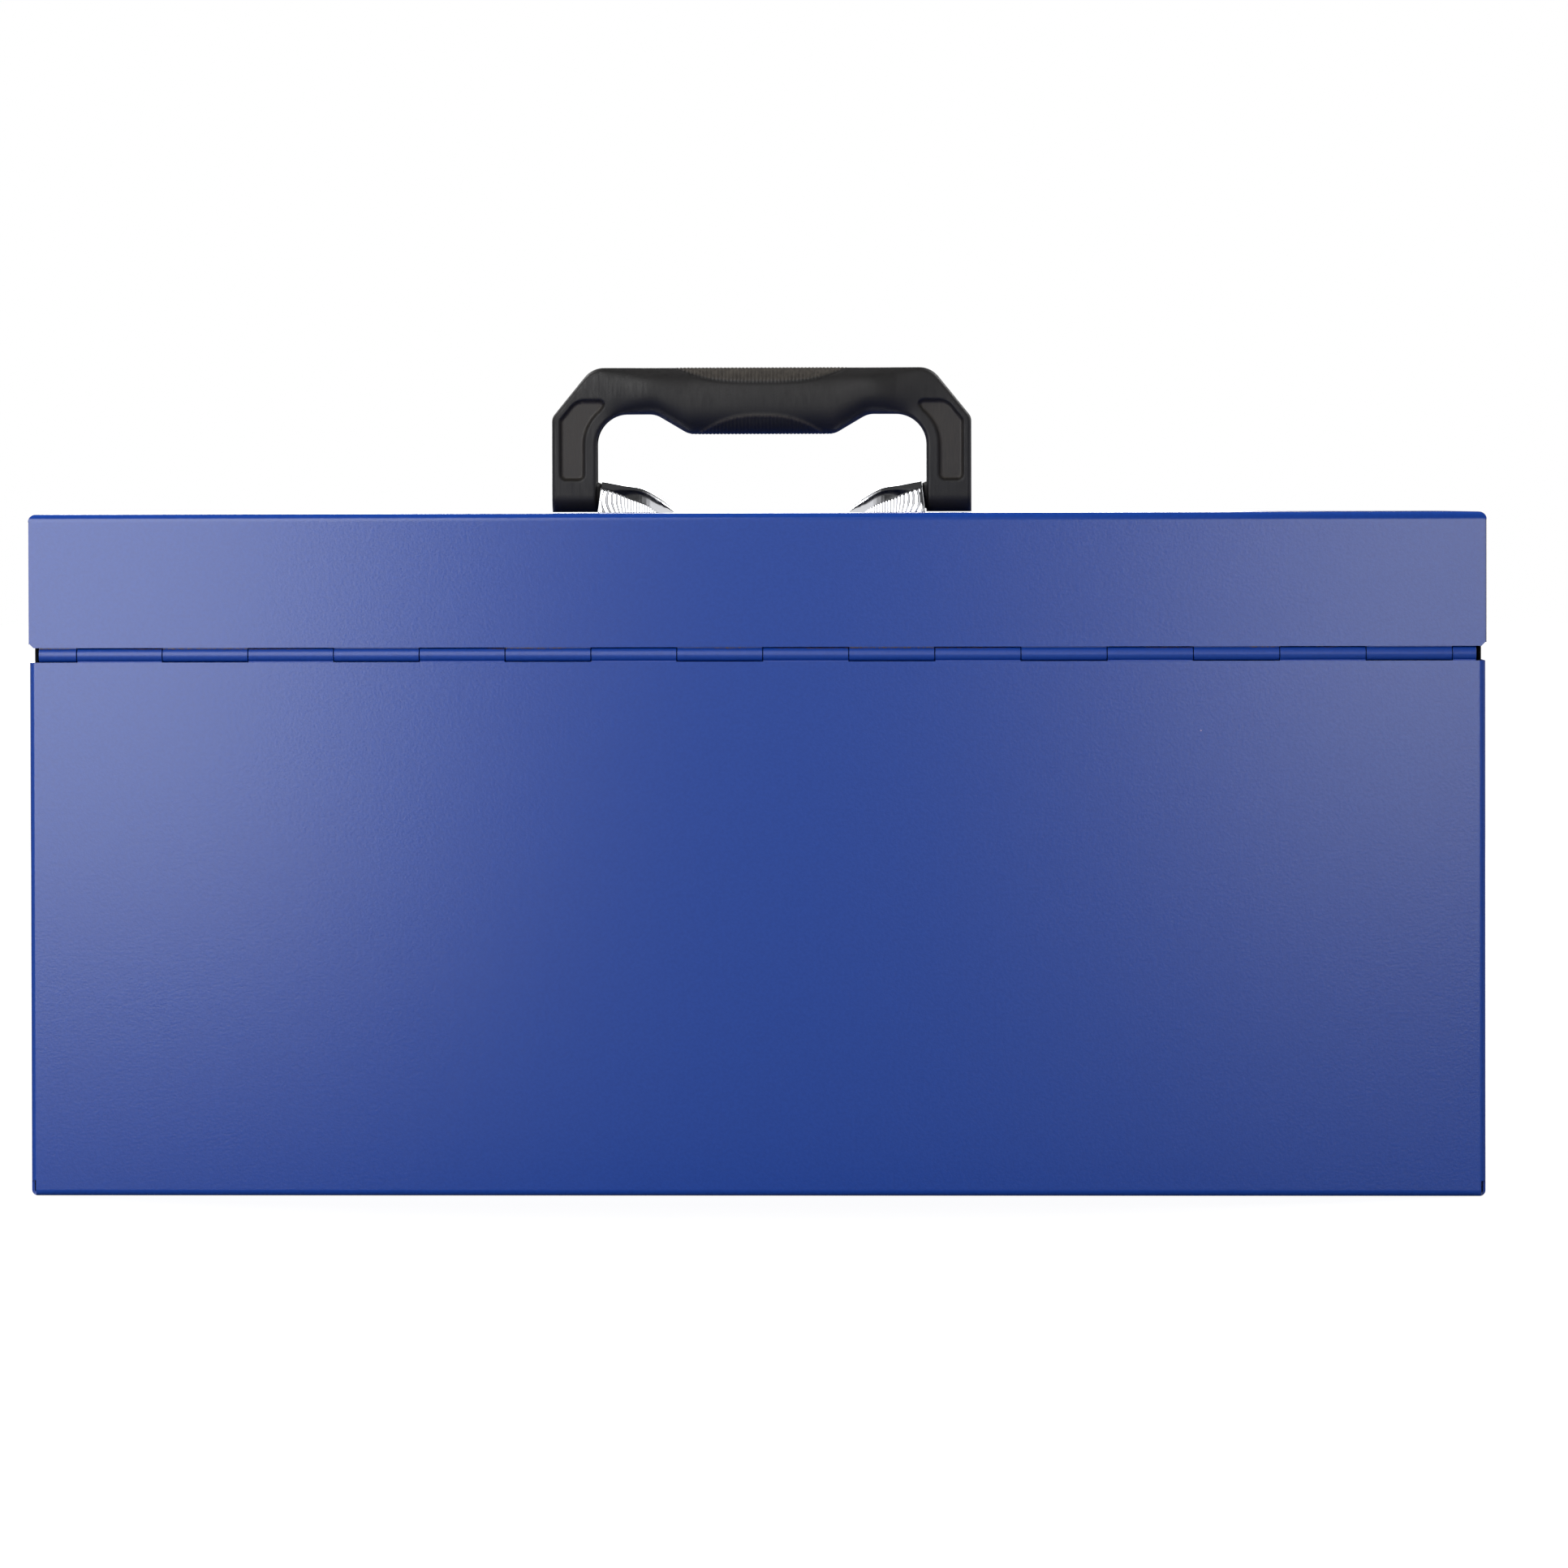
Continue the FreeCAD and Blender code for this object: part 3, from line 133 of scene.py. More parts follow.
def bump(tree, height, distanceMm, strength=1.0, under=None):
    links = {"Height": height}
    if under:
        links["Normal"] = under
    return addNode(tree, "Bump", {"Strength": strength, "Distance": distanceMm * mm}, links).outputs[0]


def finishPiece(bm, name, body, material, stands=(), smoothAngle=35):
    # the mesh is in the shared frame already, so the object stays at the origin
    mesh = bpy.data.meshes.new(name)
    bm.to_mesh(mesh)
    bm.free()
    for polygon in mesh.polygons:
        polygon.use_smooth = True
    mesh.set_sharp_from_angle(angle=math.radians(smoothAngle))
    mesh.materials.append(material)
    piece = bpy.data.objects.new(name, mesh)
    bpy.context.scene.collection.objects.link(piece)
    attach(piece, body)
    if stands:
        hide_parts(*stands)
    return piece


def block(bm, low, high):
    # a box between two corners in mm
    made = bmesh.ops.create_cube(bm, size=1.0)["verts"]
    size = [(b - a) * mm for a, b in zip(low, high)]
    middle = Vector([(a + b) / 2 * mm for a, b in zip(low, high)])
    bmesh.ops.scale(bm, vec=size, verts=made)
    bmesh.ops.translate(bm, vec=middle, verts=made)


def cut(bm, point, normal):
    # point in mm
    geometry = bm.verts[:] + bm.edges[:] + bm.faces[:]
    bmesh.ops.bisect_plane(bm, geom=geometry, plane_co=[p * mm for p in point], plane_no=normal, dist=onPlane)


def dropFaces(bm, test):
    # test sees each face's middle in mm
    gone = [face for face in bm.faces if test(face.calc_center_median() / mm)]
    bmesh.ops.delete(bm, geom=gone, context="FACES")


def roundEdges(bm, edges, radiusMm, segments):
    bmesh.ops.bevel(bm, geom=edges, offset=radiusMm * mm, offset_type="OFFSET", segments=segments,
                    profile=0.5, affect="EDGES", material=-1, clamp_overlap=True)


def fixOrder(bm):
    # a bevel can list its edges and faces in another order each run, so they are sorted by their corners
    bm.verts.index_update()
    count = len(bm.verts)

    def place(part):
        value = 0
        for index in sorted(vert.index for vert in part.verts)[:3]:
            value = value * count + index
        return value

    bm.edges.sort(key=place)
    bm.faces.sort(key=place)


def thicken(piece, wallMm, even=True):
    wall = piece.modifiers.new("wall", "SOLIDIFY")
    wall.thickness = wallMm * mm
    wall.offset = -1
    wall.use_even_offset = even


def softenEdges(piece, edgeMm):
    edge = piece.modifiers.new("softEdge", "BEVEL")
    edge.width = edgeMm * mm
    edge.segments = softEdge["segments"]
    edge.limit_method = "ANGLE"
    edge.angle_limit = math.radians(softEdge["over"])
    edge.harden_normals = True


def smoothStep(low, high, value):
    t = min(1.0, max(0.0, (value - low) / (high - low)))
    return t * t * (3 - 2 * t)


# Materials

noiseSpan = (0.3, 0.7)  # where most values of a noise lie
powderLook = {"colour": "#17429d", "shade": "#153e95", "roughness": 0.23, "hingeRoughness": 0.38,
              "peelMm": 1.1, "peelHeight": 0.015, "grainMm": 0.55, "grainHeight": 0.01,
              "dustColour": "#a9a3bd", "dustPitchMm": 17, "dustPicked": (0.86, 0.87),
              "dustEdge": (0.012, 0.017), "dustShare": 0.6}
# heights and depths in mm in the shared frame, at the tops of the knuckles
wear = {"colour": "#5d4c4e", "above": (191.0, 191.4), "outside": (103.2, 103.6), "stretch": (0.35, 1, 1),
        "patchMm": 9, "patch": (0.50, 0.56), "gritMm": 0.6, "grit": (0.42, 0.58)}


def powderCoat(name, roughness, worn=False):
    # Electrostatic polyester powder on sheet steel: even blue with fine orange peel and a soft gloss
    look = powderLook
    material, tree, shader, coords = newMaterial(name, look["colour"], roughness)
    peel = noise(tree, coords, look["peelMm"], 1)
    grain = noise(tree, coords, look["grainMm"], 1)
    # the coat is a little thinner on the crests of the peel
    colour = mixColour(tree, ramp(tree, peel, *noiseSpan), look["shade"], look["colour"])
    # a few cells of a wide pattern each hold one dust speck
    cells = addNode(tree, "TexVoronoi", {"Scale": 1 / (look["dustPitchMm"] * mm), "Randomness": 1.0},
                    {"Vector": coords}).outputs
    cellValue = addNode(tree, "SeparateColor", {}, {"Color": cells["Color"]}).outputs[0]
    picked = ramp(tree, cellValue, *look["dustPicked"])
    speck = ramp(tree, cells["Distance"], *look["dustEdge"], look["dustShare"], 0.0)
    colour = mixColour(tree, times(tree, picked, speck), colour, look["dustColour"])
    if worn:
        # the coat is rubbed through along the tops of the knuckles where the leaves turned on each other
        place = addNode(tree, "SeparateXYZ", {}, {"Vector": coords}).outputs
        above = ramp(tree, place[2], *[z * mm for z in wear["above"]])
        outside = ramp(tree, place[1], *[y * mm for y in wear["outside"]])
        top = times(tree, above, outside)
        along = stretched(tree, coords, wear["stretch"])
        patch = ramp(tree, noise(tree, along, wear["patchMm"], 4), *wear["patch"])
        grit = ramp(tree, noise(tree, coords, wear["gritMm"], 3), *wear["grit"])
        rubbed = times(tree, times(tree, top, patch), grit)
        colour = mixColour(tree, rubbed, colour, wear["colour"])
    tree.links.new(colour, shader.inputs["Base Color"])
    fine = bump(tree, grain, look["grainHeight"], 1.0, bump(tree, peel, look["peelHeight"]))
    tree.links.new(fine, shader.inputs["Normal"])
    return material


# gloss is how much of the surround a face gives back: 0.5 is usual, and a matt or dusty one gives less
rimShadeLook = {"colour": "#0c0d12", "low": "#0a0b10", "high": "#12131a", "roughness": 0.85, "gloss": 0.2,
              "grainMm": 0.7, "grainHeight": 0.02}


def paintedRimShade():
    # Painted shade: the folded-in rim, blue like the case, is coated flat and near black with a little grain
    # to stand in for the shadow it lies in under the lid
    look = rimShadeLook
    material, tree, shader, coords = newMaterial("paintedShadeOnRim", look["colour"], look["roughness"],
                                                 Specular_IOR_Level=look["gloss"])
    grain = noise(tree, coords, look["grainMm"], 2)
    tree.links.new(mixColour(tree, grain, look["low"], look["high"]), shader.inputs["Base Color"])
    tree.links.new(bump(tree, grain, look["grainHeight"]), shader.inputs["Normal"])
    return material


chromeLook = {"colour": "#d9dade", "roughness": 0.12, "cloudMm": 2.5, "span": (0.35, 0.65),
              "rough": (0.08, 0.16), "markMm": 1.2, "markHeight": 0.006}


def chromePlate():
    # Nickel and chrome over pressed steel: bright, nearly mirror, with faint pressing marks
    look = chromeLook
    material, tree, shader, coords = newMaterial("chromePlatedPressing", look["colour"],
                                                 look["roughness"], 1.0)
    rough = ramp(tree, noise(tree, coords, look["cloudMm"], 3), *look["span"], *look["rough"])
    tree.links.new(rough, shader.inputs["Roughness"])
    marks = noise(tree, coords, look["markMm"], 2)
    tree.links.new(bump(tree, marks, look["markHeight"]), shader.inputs["Normal"])
    return material


zincLook = {"colour": "#b9bcc2", "low": "#a9adb4", "high": "#c6c8cc", "roughness": 0.32, "lineMm": 0.5,
            "stretch": (1, 0.04, 1), "cloudMm": 7, "rough": (0.25, 0.42), "lineHeight": 0.01}
aluminiumLook = {"colour": "#c9cbce", "low": "#bcbec2", "high": "#d3d5d8", "roughness": 0.34, "lineMm": 0.35,
                 "stretch": (0.02, 1, 1), "rough": (0.27, 0.42), "lineHeight": 0.012}


def zincPlate():
    # Bright zinc on rolled steel: greyer than chrome, rolled along the rails
    look = zincLook
    material, tree, shader, coords = newMaterial("zincPlatedSteel", look["colour"], look["roughness"], 1.0)
    lines = noise(tree, stretched(tree, coords, look["stretch"]), look["lineMm"], 3)
    clouds = noise(tree, coords, look["cloudMm"], 3)
    tree.links.new(mixColour(tree, clouds, look["low"], look["high"]), shader.inputs["Base Color"])
    tree.links.new(ramp(tree, lines, *noiseSpan, *look["rough"]), shader.inputs["Roughness"])
    tree.links.new(bump(tree, lines, look["lineHeight"]), shader.inputs["Normal"])
    return material


def drawnAluminium():
    # Extruded aluminium, brushed along its length and clear anodised: satin streaks across the box
    look = aluminiumLook
    material, tree, shader, coords = newMaterial("anodisedAluminium", look["colour"], look["roughness"], 1.0)
    lines = noise(tree, stretched(tree, coords, look["stretch"]), look["lineMm"], 4)
    tree.links.new(mixColour(tree, lines, look["low"], look["high"]), shader.inputs["Base Color"])
    tree.links.new(ramp(tree, lines, *noiseSpan, *look["rough"]), shader.inputs["Roughness"])
    tree.links.new(bump(tree, lines, look["lineHeight"]), shader.inputs["Normal"])
    return material


ballLook = {"colour": "#cfd0d2", "roughness": 0.08, "cloudMm": 0.8, "span": (0.4, 0.6), "rough": (0.06, 0.14)}
pinLook = {"colour": "#2c2e33", "low": "#24262b", "high": "#3a3c41", "roughness": 0.5, "cloudMm": 1.5}


def polishedSteel():
    # Hardened and lapped bearing steel: small, even mirrors
    look = ballLook
    material, tree, shader, coords = newMaterial("lappedBallSteel", look["colour"], look["roughness"], 1.0)
    clouds = noise(tree, coords, look["cloudMm"], 2)
    tree.links.new(ramp(tree, clouds, *look["span"], *look["rough"]), shader.inputs["Roughness"])
    return material


def oiledSteel():
    # Drawn wire dulled by oil and paint dust, seen only in the gaps between the knuckles
    look = pinLook
    material, tree, shader, coords = newMaterial("dullPinSteel", look["colour"], look["roughness"], 1.0)
    clouds = noise(tree, coords, look["cloudMm"], 3)
    tree.links.new(mixColour(tree, clouds, look["low"], look["high"]), shader.inputs["Base Color"])
    return material


plasticLook = {"colour": "#141313", "paler": "#181616", "dusty": "#3e3933", "roughness": 0.5, "gloss": 0.3,
               "washMm": 14, "streakMm": 0.9, "stretch": (1, 1, 0.12), "rough": (0.42, 0.58),
               "dustReach": (0.35, 1), "grainMm": 0.45, "grainHeight": 0.02, "streakHeight": 0.03,
               "streakStrength": 0.6}


def mouldedPlastic():
    # Polypropylene moulding with a spark-eroded grain: dark, satin, warmer where dust sits in its hollows,
    # with a painted highlight line and a painted shade line at the grip's lens edges
    look = plasticLook
    material, tree, shader, coords = newMaterial("mouldedBlackPlastic", look["colour"], look["roughness"],
                                                 Specular_IOR_Level=look["gloss"])
    wash = noise(tree, coords, look["washMm"], 4)
    streaks = noise(tree, stretched(tree, coords, look["stretch"]), look["streakMm"], 4, 0.6)
    base = mixColour(tree, ramp(tree, wash, *noiseSpan), look["colour"], look["paler"])
    # dustShare brings real dust and, at the grip's lens edges, a painted highlight and a painted shade line
    hollow = addNode(tree, "Attribute", {"attribute_name": "dustShare"}).outputs["Fac"]
    share = addNode(tree, "Math", {"operation": "MULTIPLY", "use_clamp": True},
                    {0: hollow, 1: ramp(tree, streaks, *noiseSpan, *look["dustReach"])})
    tree.links.new(mixColour(tree, share.outputs[0], base, look["dusty"]), shader.inputs["Base Color"])
    tree.links.new(ramp(tree, streaks, *noiseSpan, *look["rough"]), shader.inputs["Roughness"])
    fine = bump(tree, noise(tree, coords, look["grainMm"], 2), look["grainHeight"])
    streaked = bump(tree, streaks, look["streakHeight"], look["streakStrength"], fine)
    tree.links.new(streaked, shader.inputs["Normal"])
    return material


bluePaint = powderCoat("bluePowderCoat", powderLook["roughness"])
wornPaint = powderCoat("bluePowderCoatOnHinge", powderLook["hingeRoughness"], worn=True)
# near-black painted shade for the inner rim, in place of its blue coat
primer = paintedRimShade()
chrome = chromePlate()
zinc = zincPlate()
aluminium = drawnAluminium()
ballSteel = polishedSteel()
dullSteel = oiledSteel()
blackPlastic = mouldedPlastic()
print("materials made")


# Case and lid: folded sheet

caseSheet = {"width": 508.0, "depth": 216.0, "height": 186.7, "gauge": 1.0, "bend": 2.0, "segments": 6,
             "guard": 0.3, "edge": 0.18, "stile": 5.0, "sill": 8.0, "notch": 1.6, "notchHeight": 5.4}


def makeCase():
    v = caseSheet
    halfX, halfY = v["width"] / 2, v["depth"] / 2
    bm = bmesh.new()
    block(bm, (-halfX, -halfY, 0), (halfX, halfY, v["height"]))
    dropFaces(bm, lambda c: c.z > v["height"] - touch)
    roundEdges(bm, [e for e in bm.edges if not e.is_boundary], v["bend"], v["segments"])
    # cuts just past the bends keep the flats truly flat to the eye
    flat = v["bend"] + v["guard"]
    for side in (-1, 1):
        cut(bm, (side * (halfX - v["stile"]), 0, 0), (1, 0, 0))
        for inset in (flat, v["notch"]):
            cut(bm, (side * (halfX - inset), 0, 0), (1, 0, 0))
            cut(bm, (0, side * (halfY - inset), 0), (0, 1, 0))
    cut(bm, (0, 0, flat), (0, 0, 1))
    cut(bm, (0, 0, v["sill"]), (0, 0, 1))
    cut(bm, (0, 0, v["notchHeight"]), (0, 0, 1))
    # the open front, then the relief notches at the lower corners
    dropFaces(bm, lambda c: c.y < -halfY + touch and abs(c.x) < halfX - v["stile"] and c.z > v["sill"])
    dropFaces(bm, lambda c: abs(c.x) > halfX - v["notch"] and abs(c.y) > halfY - v["notch"]
              and c.z < v["notchHeight"])
    fixOrder(bm)
    bmesh.ops.recalc_face_normals(bm, faces=bm.faces)
    piece = finishPiece(bm, "caseSheet", "case", bluePaint, ["body_shell"])
    thicken(piece, v["gauge"])
    softenEdges(piece, v["edge"])


lidSheet = {"half": 254.4, "front": -108.4, "back": 108.0, "low": 188.0, "backLow": 191.8, "top": 238.5,
            "gauge": 1.0, "bend": 2.6, "segments": 6, "guard": 0.3, "edge": 0.18, "reveal": 0.5,
            "sideGap": 1.2, "cornerCut": 1.3}


def makeLid():
    v = lidSheet
    bm = bmesh.new()
    block(bm, (-v["half"], v["front"], v["low"]), (v["half"], v["back"], v["top"]))
    dropFaces(bm, lambda c: c.z < v["low"] + touch)
    roundEdges(bm, [e for e in bm.edges if min(p.co.z for p in e.verts) > (v["top"] - touch) * mm],
               v["bend"], v["segments"])
    flat = v["bend"] + v["guard"]
    skirtTop = v["top"] - v["bend"]
    for z in (skirtTop, v["top"] - flat):
        cut(bm, (0, 0, z), (0, 0, 1))
    for y in (v["back"] - flat, v["front"] + flat, v["back"] - v["sideGap"], v["front"] + v["sideGap"]):
        cut(bm, (0, y, 0), (0, 1, 0))
    flangeEnd = v["half"] - v["reveal"]
    for side in (-1, 1):
        cut(bm, (side * (v["half"] - flat), 0, 0), (1, 0, 0))
        cut(bm, (side * flangeEnd, 0, 0), (1, 0, 0))
    rise = (v["backLow"] - v["low"]) / (v["back"] - v["front"])

    def fromEnd(y):
        return min(v["back"] - y, y - v["front"])

    def lowest(y):
        return v["low"] + v["cornerCut"] + rise * (y - v["front"])

    # the end flanges lap over the side flanges, which stop just behind them
    dropFaces(bm, lambda c: fromEnd(c.y) < touch and abs(c.x) > flangeEnd and c.z < skirtTop)
    dropFaces(bm, lambda c: abs(c.x) > v["half"] - touch and fromEnd(c.y) < v["sideGap"] and c.z < skirtTop)
    # the side flanges' lower edges rise towards the hinge
    cut(bm, (0, v["front"], lowest(v["front"])), Vector((0, -rise, 1)).normalized())
    cut(bm, (0, 0, v["backLow"]), (0, 0, 1))
    dropFaces(bm, lambda c: abs(c.x) > v["half"] - touch and c.z < lowest(c.y))
    dropFaces(bm, lambda c: c.y > v["back"] - touch and c.z < v["backLow"])
    # the end flanges' lower corners are clipped
    clipFrom = flangeEnd - v["cornerCut"]
    for low in (v["low"], v["backLow"]):
        for side in (-1, 1):
            cut(bm, (side * clipFrom, 0, low), Vector((side, 0, -1)).normalized())
        atBack = low == v["backLow"]
        dropFaces(bm, lambda c: (c.y > v["back"] - touch) == atBack and fromEnd(c.y) < touch
                  and c.z - low < abs(c.x) - clipFrom)
    fixOrder(bm)
    bmesh.ops.recalc_face_normals(bm, faces=bm.faces)
    piece = finishPiece(bm, "lidSheet", "lid", bluePaint, ["lid_shell"])
    thicken(piece, v["gauge"])
    softenEdges(piece, v["edge"])


makeCase()
makeLid()
print("case and lid folded")


# Carrying handle

grip = {"half": 76.0, "innerHalf": 59.7, "low": 238.8, "pivot": 244.8, "endLow": 274.2, "middleLow": 267.1,
        "top": 291.1, "chamferLow": 273.1, "chamferHalf": 61.4, "shoulderHalf": 38.5, "middleHalf": 26.5,
        "legThick": 12.0, "gripThick": 17.0, "edge": 1.5, "fullness": 2.35, "innerRound": 11.0,
        "shoulderRound": 8.0, "middleRound": 7.0, "chamferLowRound": 4.0, "chamferTopRound": 9.0,
        "ribPitch": 1.33, "ribRise": 0.22, "ribMean": 0.65, "ribFade": 0.4,
        "lipRise": 0.2, "lipSpan": (0.9, 0.1), "lipInset": 0.1, "lipFade": 1.2,
        "topLensHalf": 31.3, "topLensDrop": 5.4, "topLensPower": 3,
        "lowLensHalf": 23.0, "lowLensRise": 6.6, "lowLensPower": 2.4, "lowLensLeast": 0.25, "lensMargin": 3.0,
        "pocketDepth": 1.5, "pocketOuter": 2.5, "pocketInner": 4.1, "pocketLow": 249.9, "pocketTop": 279.7,
        "pocketWall": 1.3, "pocketReach": 56.3, "pocketRound": 2.6,
        "collarRadius": 5.4, "collarTip": 4.3, "collarLength": 1.5, "collarRoot": 1.0,
        "dustyAbove": 280.0, "pocketDust": 0.7, "lipPaintedLight": 0.8}
# the mesh of the handle: rows along it, points round it, and where the flat leg turns into the round grip
gripMesh = {"footRows": 8, "legRows": 44, "turnRows": 64, "ring": 116, "step": 0.6, "blendSpan": (0.4, 1.5),
            "blendRun": 17.0, "ribsFrom": 0.9, "collarSides": 48, "smoothAngle": 50}


def roundedPath(corners, steps=12):
    # corners are (x, z, radius); a radius above 0 turns the corner into an arc
    path = []
    for i, (x, z, radius) in enumerate(corners):
        here = Vector((x, z))
        if radius == 0:
            path.append(here)
            continue
        back = (Vector(corners[i - 1][:2]) - here).normalized()
        ahead = (Vector(corners[i + 1][:2]) - here).normalized()
        half = back.angle(ahead) / 2
        middle = here + (back + ahead).normalized() * radius / math.sin(half)
        first = here + back * radius / math.tan(half) - middle
        turn = (math.pi - 2 * half) * (1 if first.y * back.x > first.x * back.y else -1)
        for k in range(steps + 1):
            angle = turn * k / steps
            spoke = Vector((first.x * math.cos(angle) - first.y * math.sin(angle),
                            first.x * math.sin(angle) + first.y * math.cos(angle)))
            path.append(middle + spoke)
    return path


def alongPath(path, share):
    lengths = [(b - a).length for a, b in zip(path, path[1:])]
    left = share * sum(lengths)
    for a, b, length in zip(path, path[1:], lengths):
        if left <= length:
            return a.lerp(b, left / length if length else 0)
        left -= length
    return path[-1]


def heightAt(path, x):
    # the path runs from large x to x = 0
    for a, b in zip(path, path[1:]):
        if b.x <= x <= a.x and a.x > b.x:
            return a.y + (b.y - a.y) * (a.x - x) / (a.x - b.x)
    return path[-1].y


def distanceTo(path, point):
    best = math.inf
    for a, b in zip(path, path[1:]):
        side = b - a
        share = max(0.0, min(1.0, (point - a).dot(side) / side.length_squared)) if side.length_squared else 0
        best = min(best, (point - a - side * share).length)
    return best


def handleStations():
    # each station is an inner point, an outer point, the share of round grip and how full the section is
    v, mesh = grip, gripMesh
    under = roundedPath([(v["innerHalf"], v["low"], 0), (v["innerHalf"], v["endLow"], v["innerRound"]),
                         (v["shoulderHalf"], v["endLow"], v["shoulderRound"]),
                         (v["middleHalf"], v["middleLow"], v["middleRound"]), (0, v["middleLow"], 0)])
    over = roundedPath([(v["half"], v["low"], 0), (v["half"], v["chamferLow"], v["chamferLowRound"]),
                        (v["chamferHalf"], v["top"], v["chamferTopRound"]), (0, v["top"], 0)])
    legTop = v["endLow"] - v["innerRound"]
    turnX = v["innerHalf"] - v["innerRound"]
    outerTurn = [p for p in over if p.y >= legTop and p.x >= turnX]
    outerTurn = [Vector((v["half"], legTop))] + outerTurn + [Vector((turnX, v["top"]))]
    stations = []
    footRadius = v["legThick"] / 2
    count = mesh["footRows"]
    heights = [v["pivot"] - footRadius * math.cos(math.pi / 2 * k / count) for k in range(count + 1)]
    count = mesh["legRows"]
    heights += [v["pivot"] + (legTop - v["pivot"]) * k / count for k in range(1, count)]
    for z in heights:
        squeeze = 1.0
        if z < v["pivot"]:
            squeeze = math.sqrt(max(0.0, 1 - ((v["pivot"] - z) / footRadius) ** 2))
        stations.append((Vector((v["innerHalf"], z)), Vector((v["half"], z)), 0.0, squeeze))
    count = mesh["turnRows"]
    for k in range(count):
        share = k / count
        angle = share * math.pi / 2
        inner = Vector((turnX, legTop)) + v["innerRound"] * Vector((math.cos(angle), math.sin(angle)))
        blend = smoothStep(*mesh["blendSpan"], share)
        stations.append((inner, alongPath(outerTurn, share), blend, 1.0))
    x = turnX
    while x > -0.01:  # down to the middle, with room for rounding
        blend = smoothStep(*mesh["blendSpan"], 1 + (turnX - x) / mesh["blendRun"])
        stations.append((Vector((x, heightAt(under, x))), Vector((x, heightAt(over, x))), blend, 1.0))
        x -= v["ribPitch"] / 4 if x < v["topLensHalf"] + v["lensMargin"] else mesh["step"]
    return stations, under, over


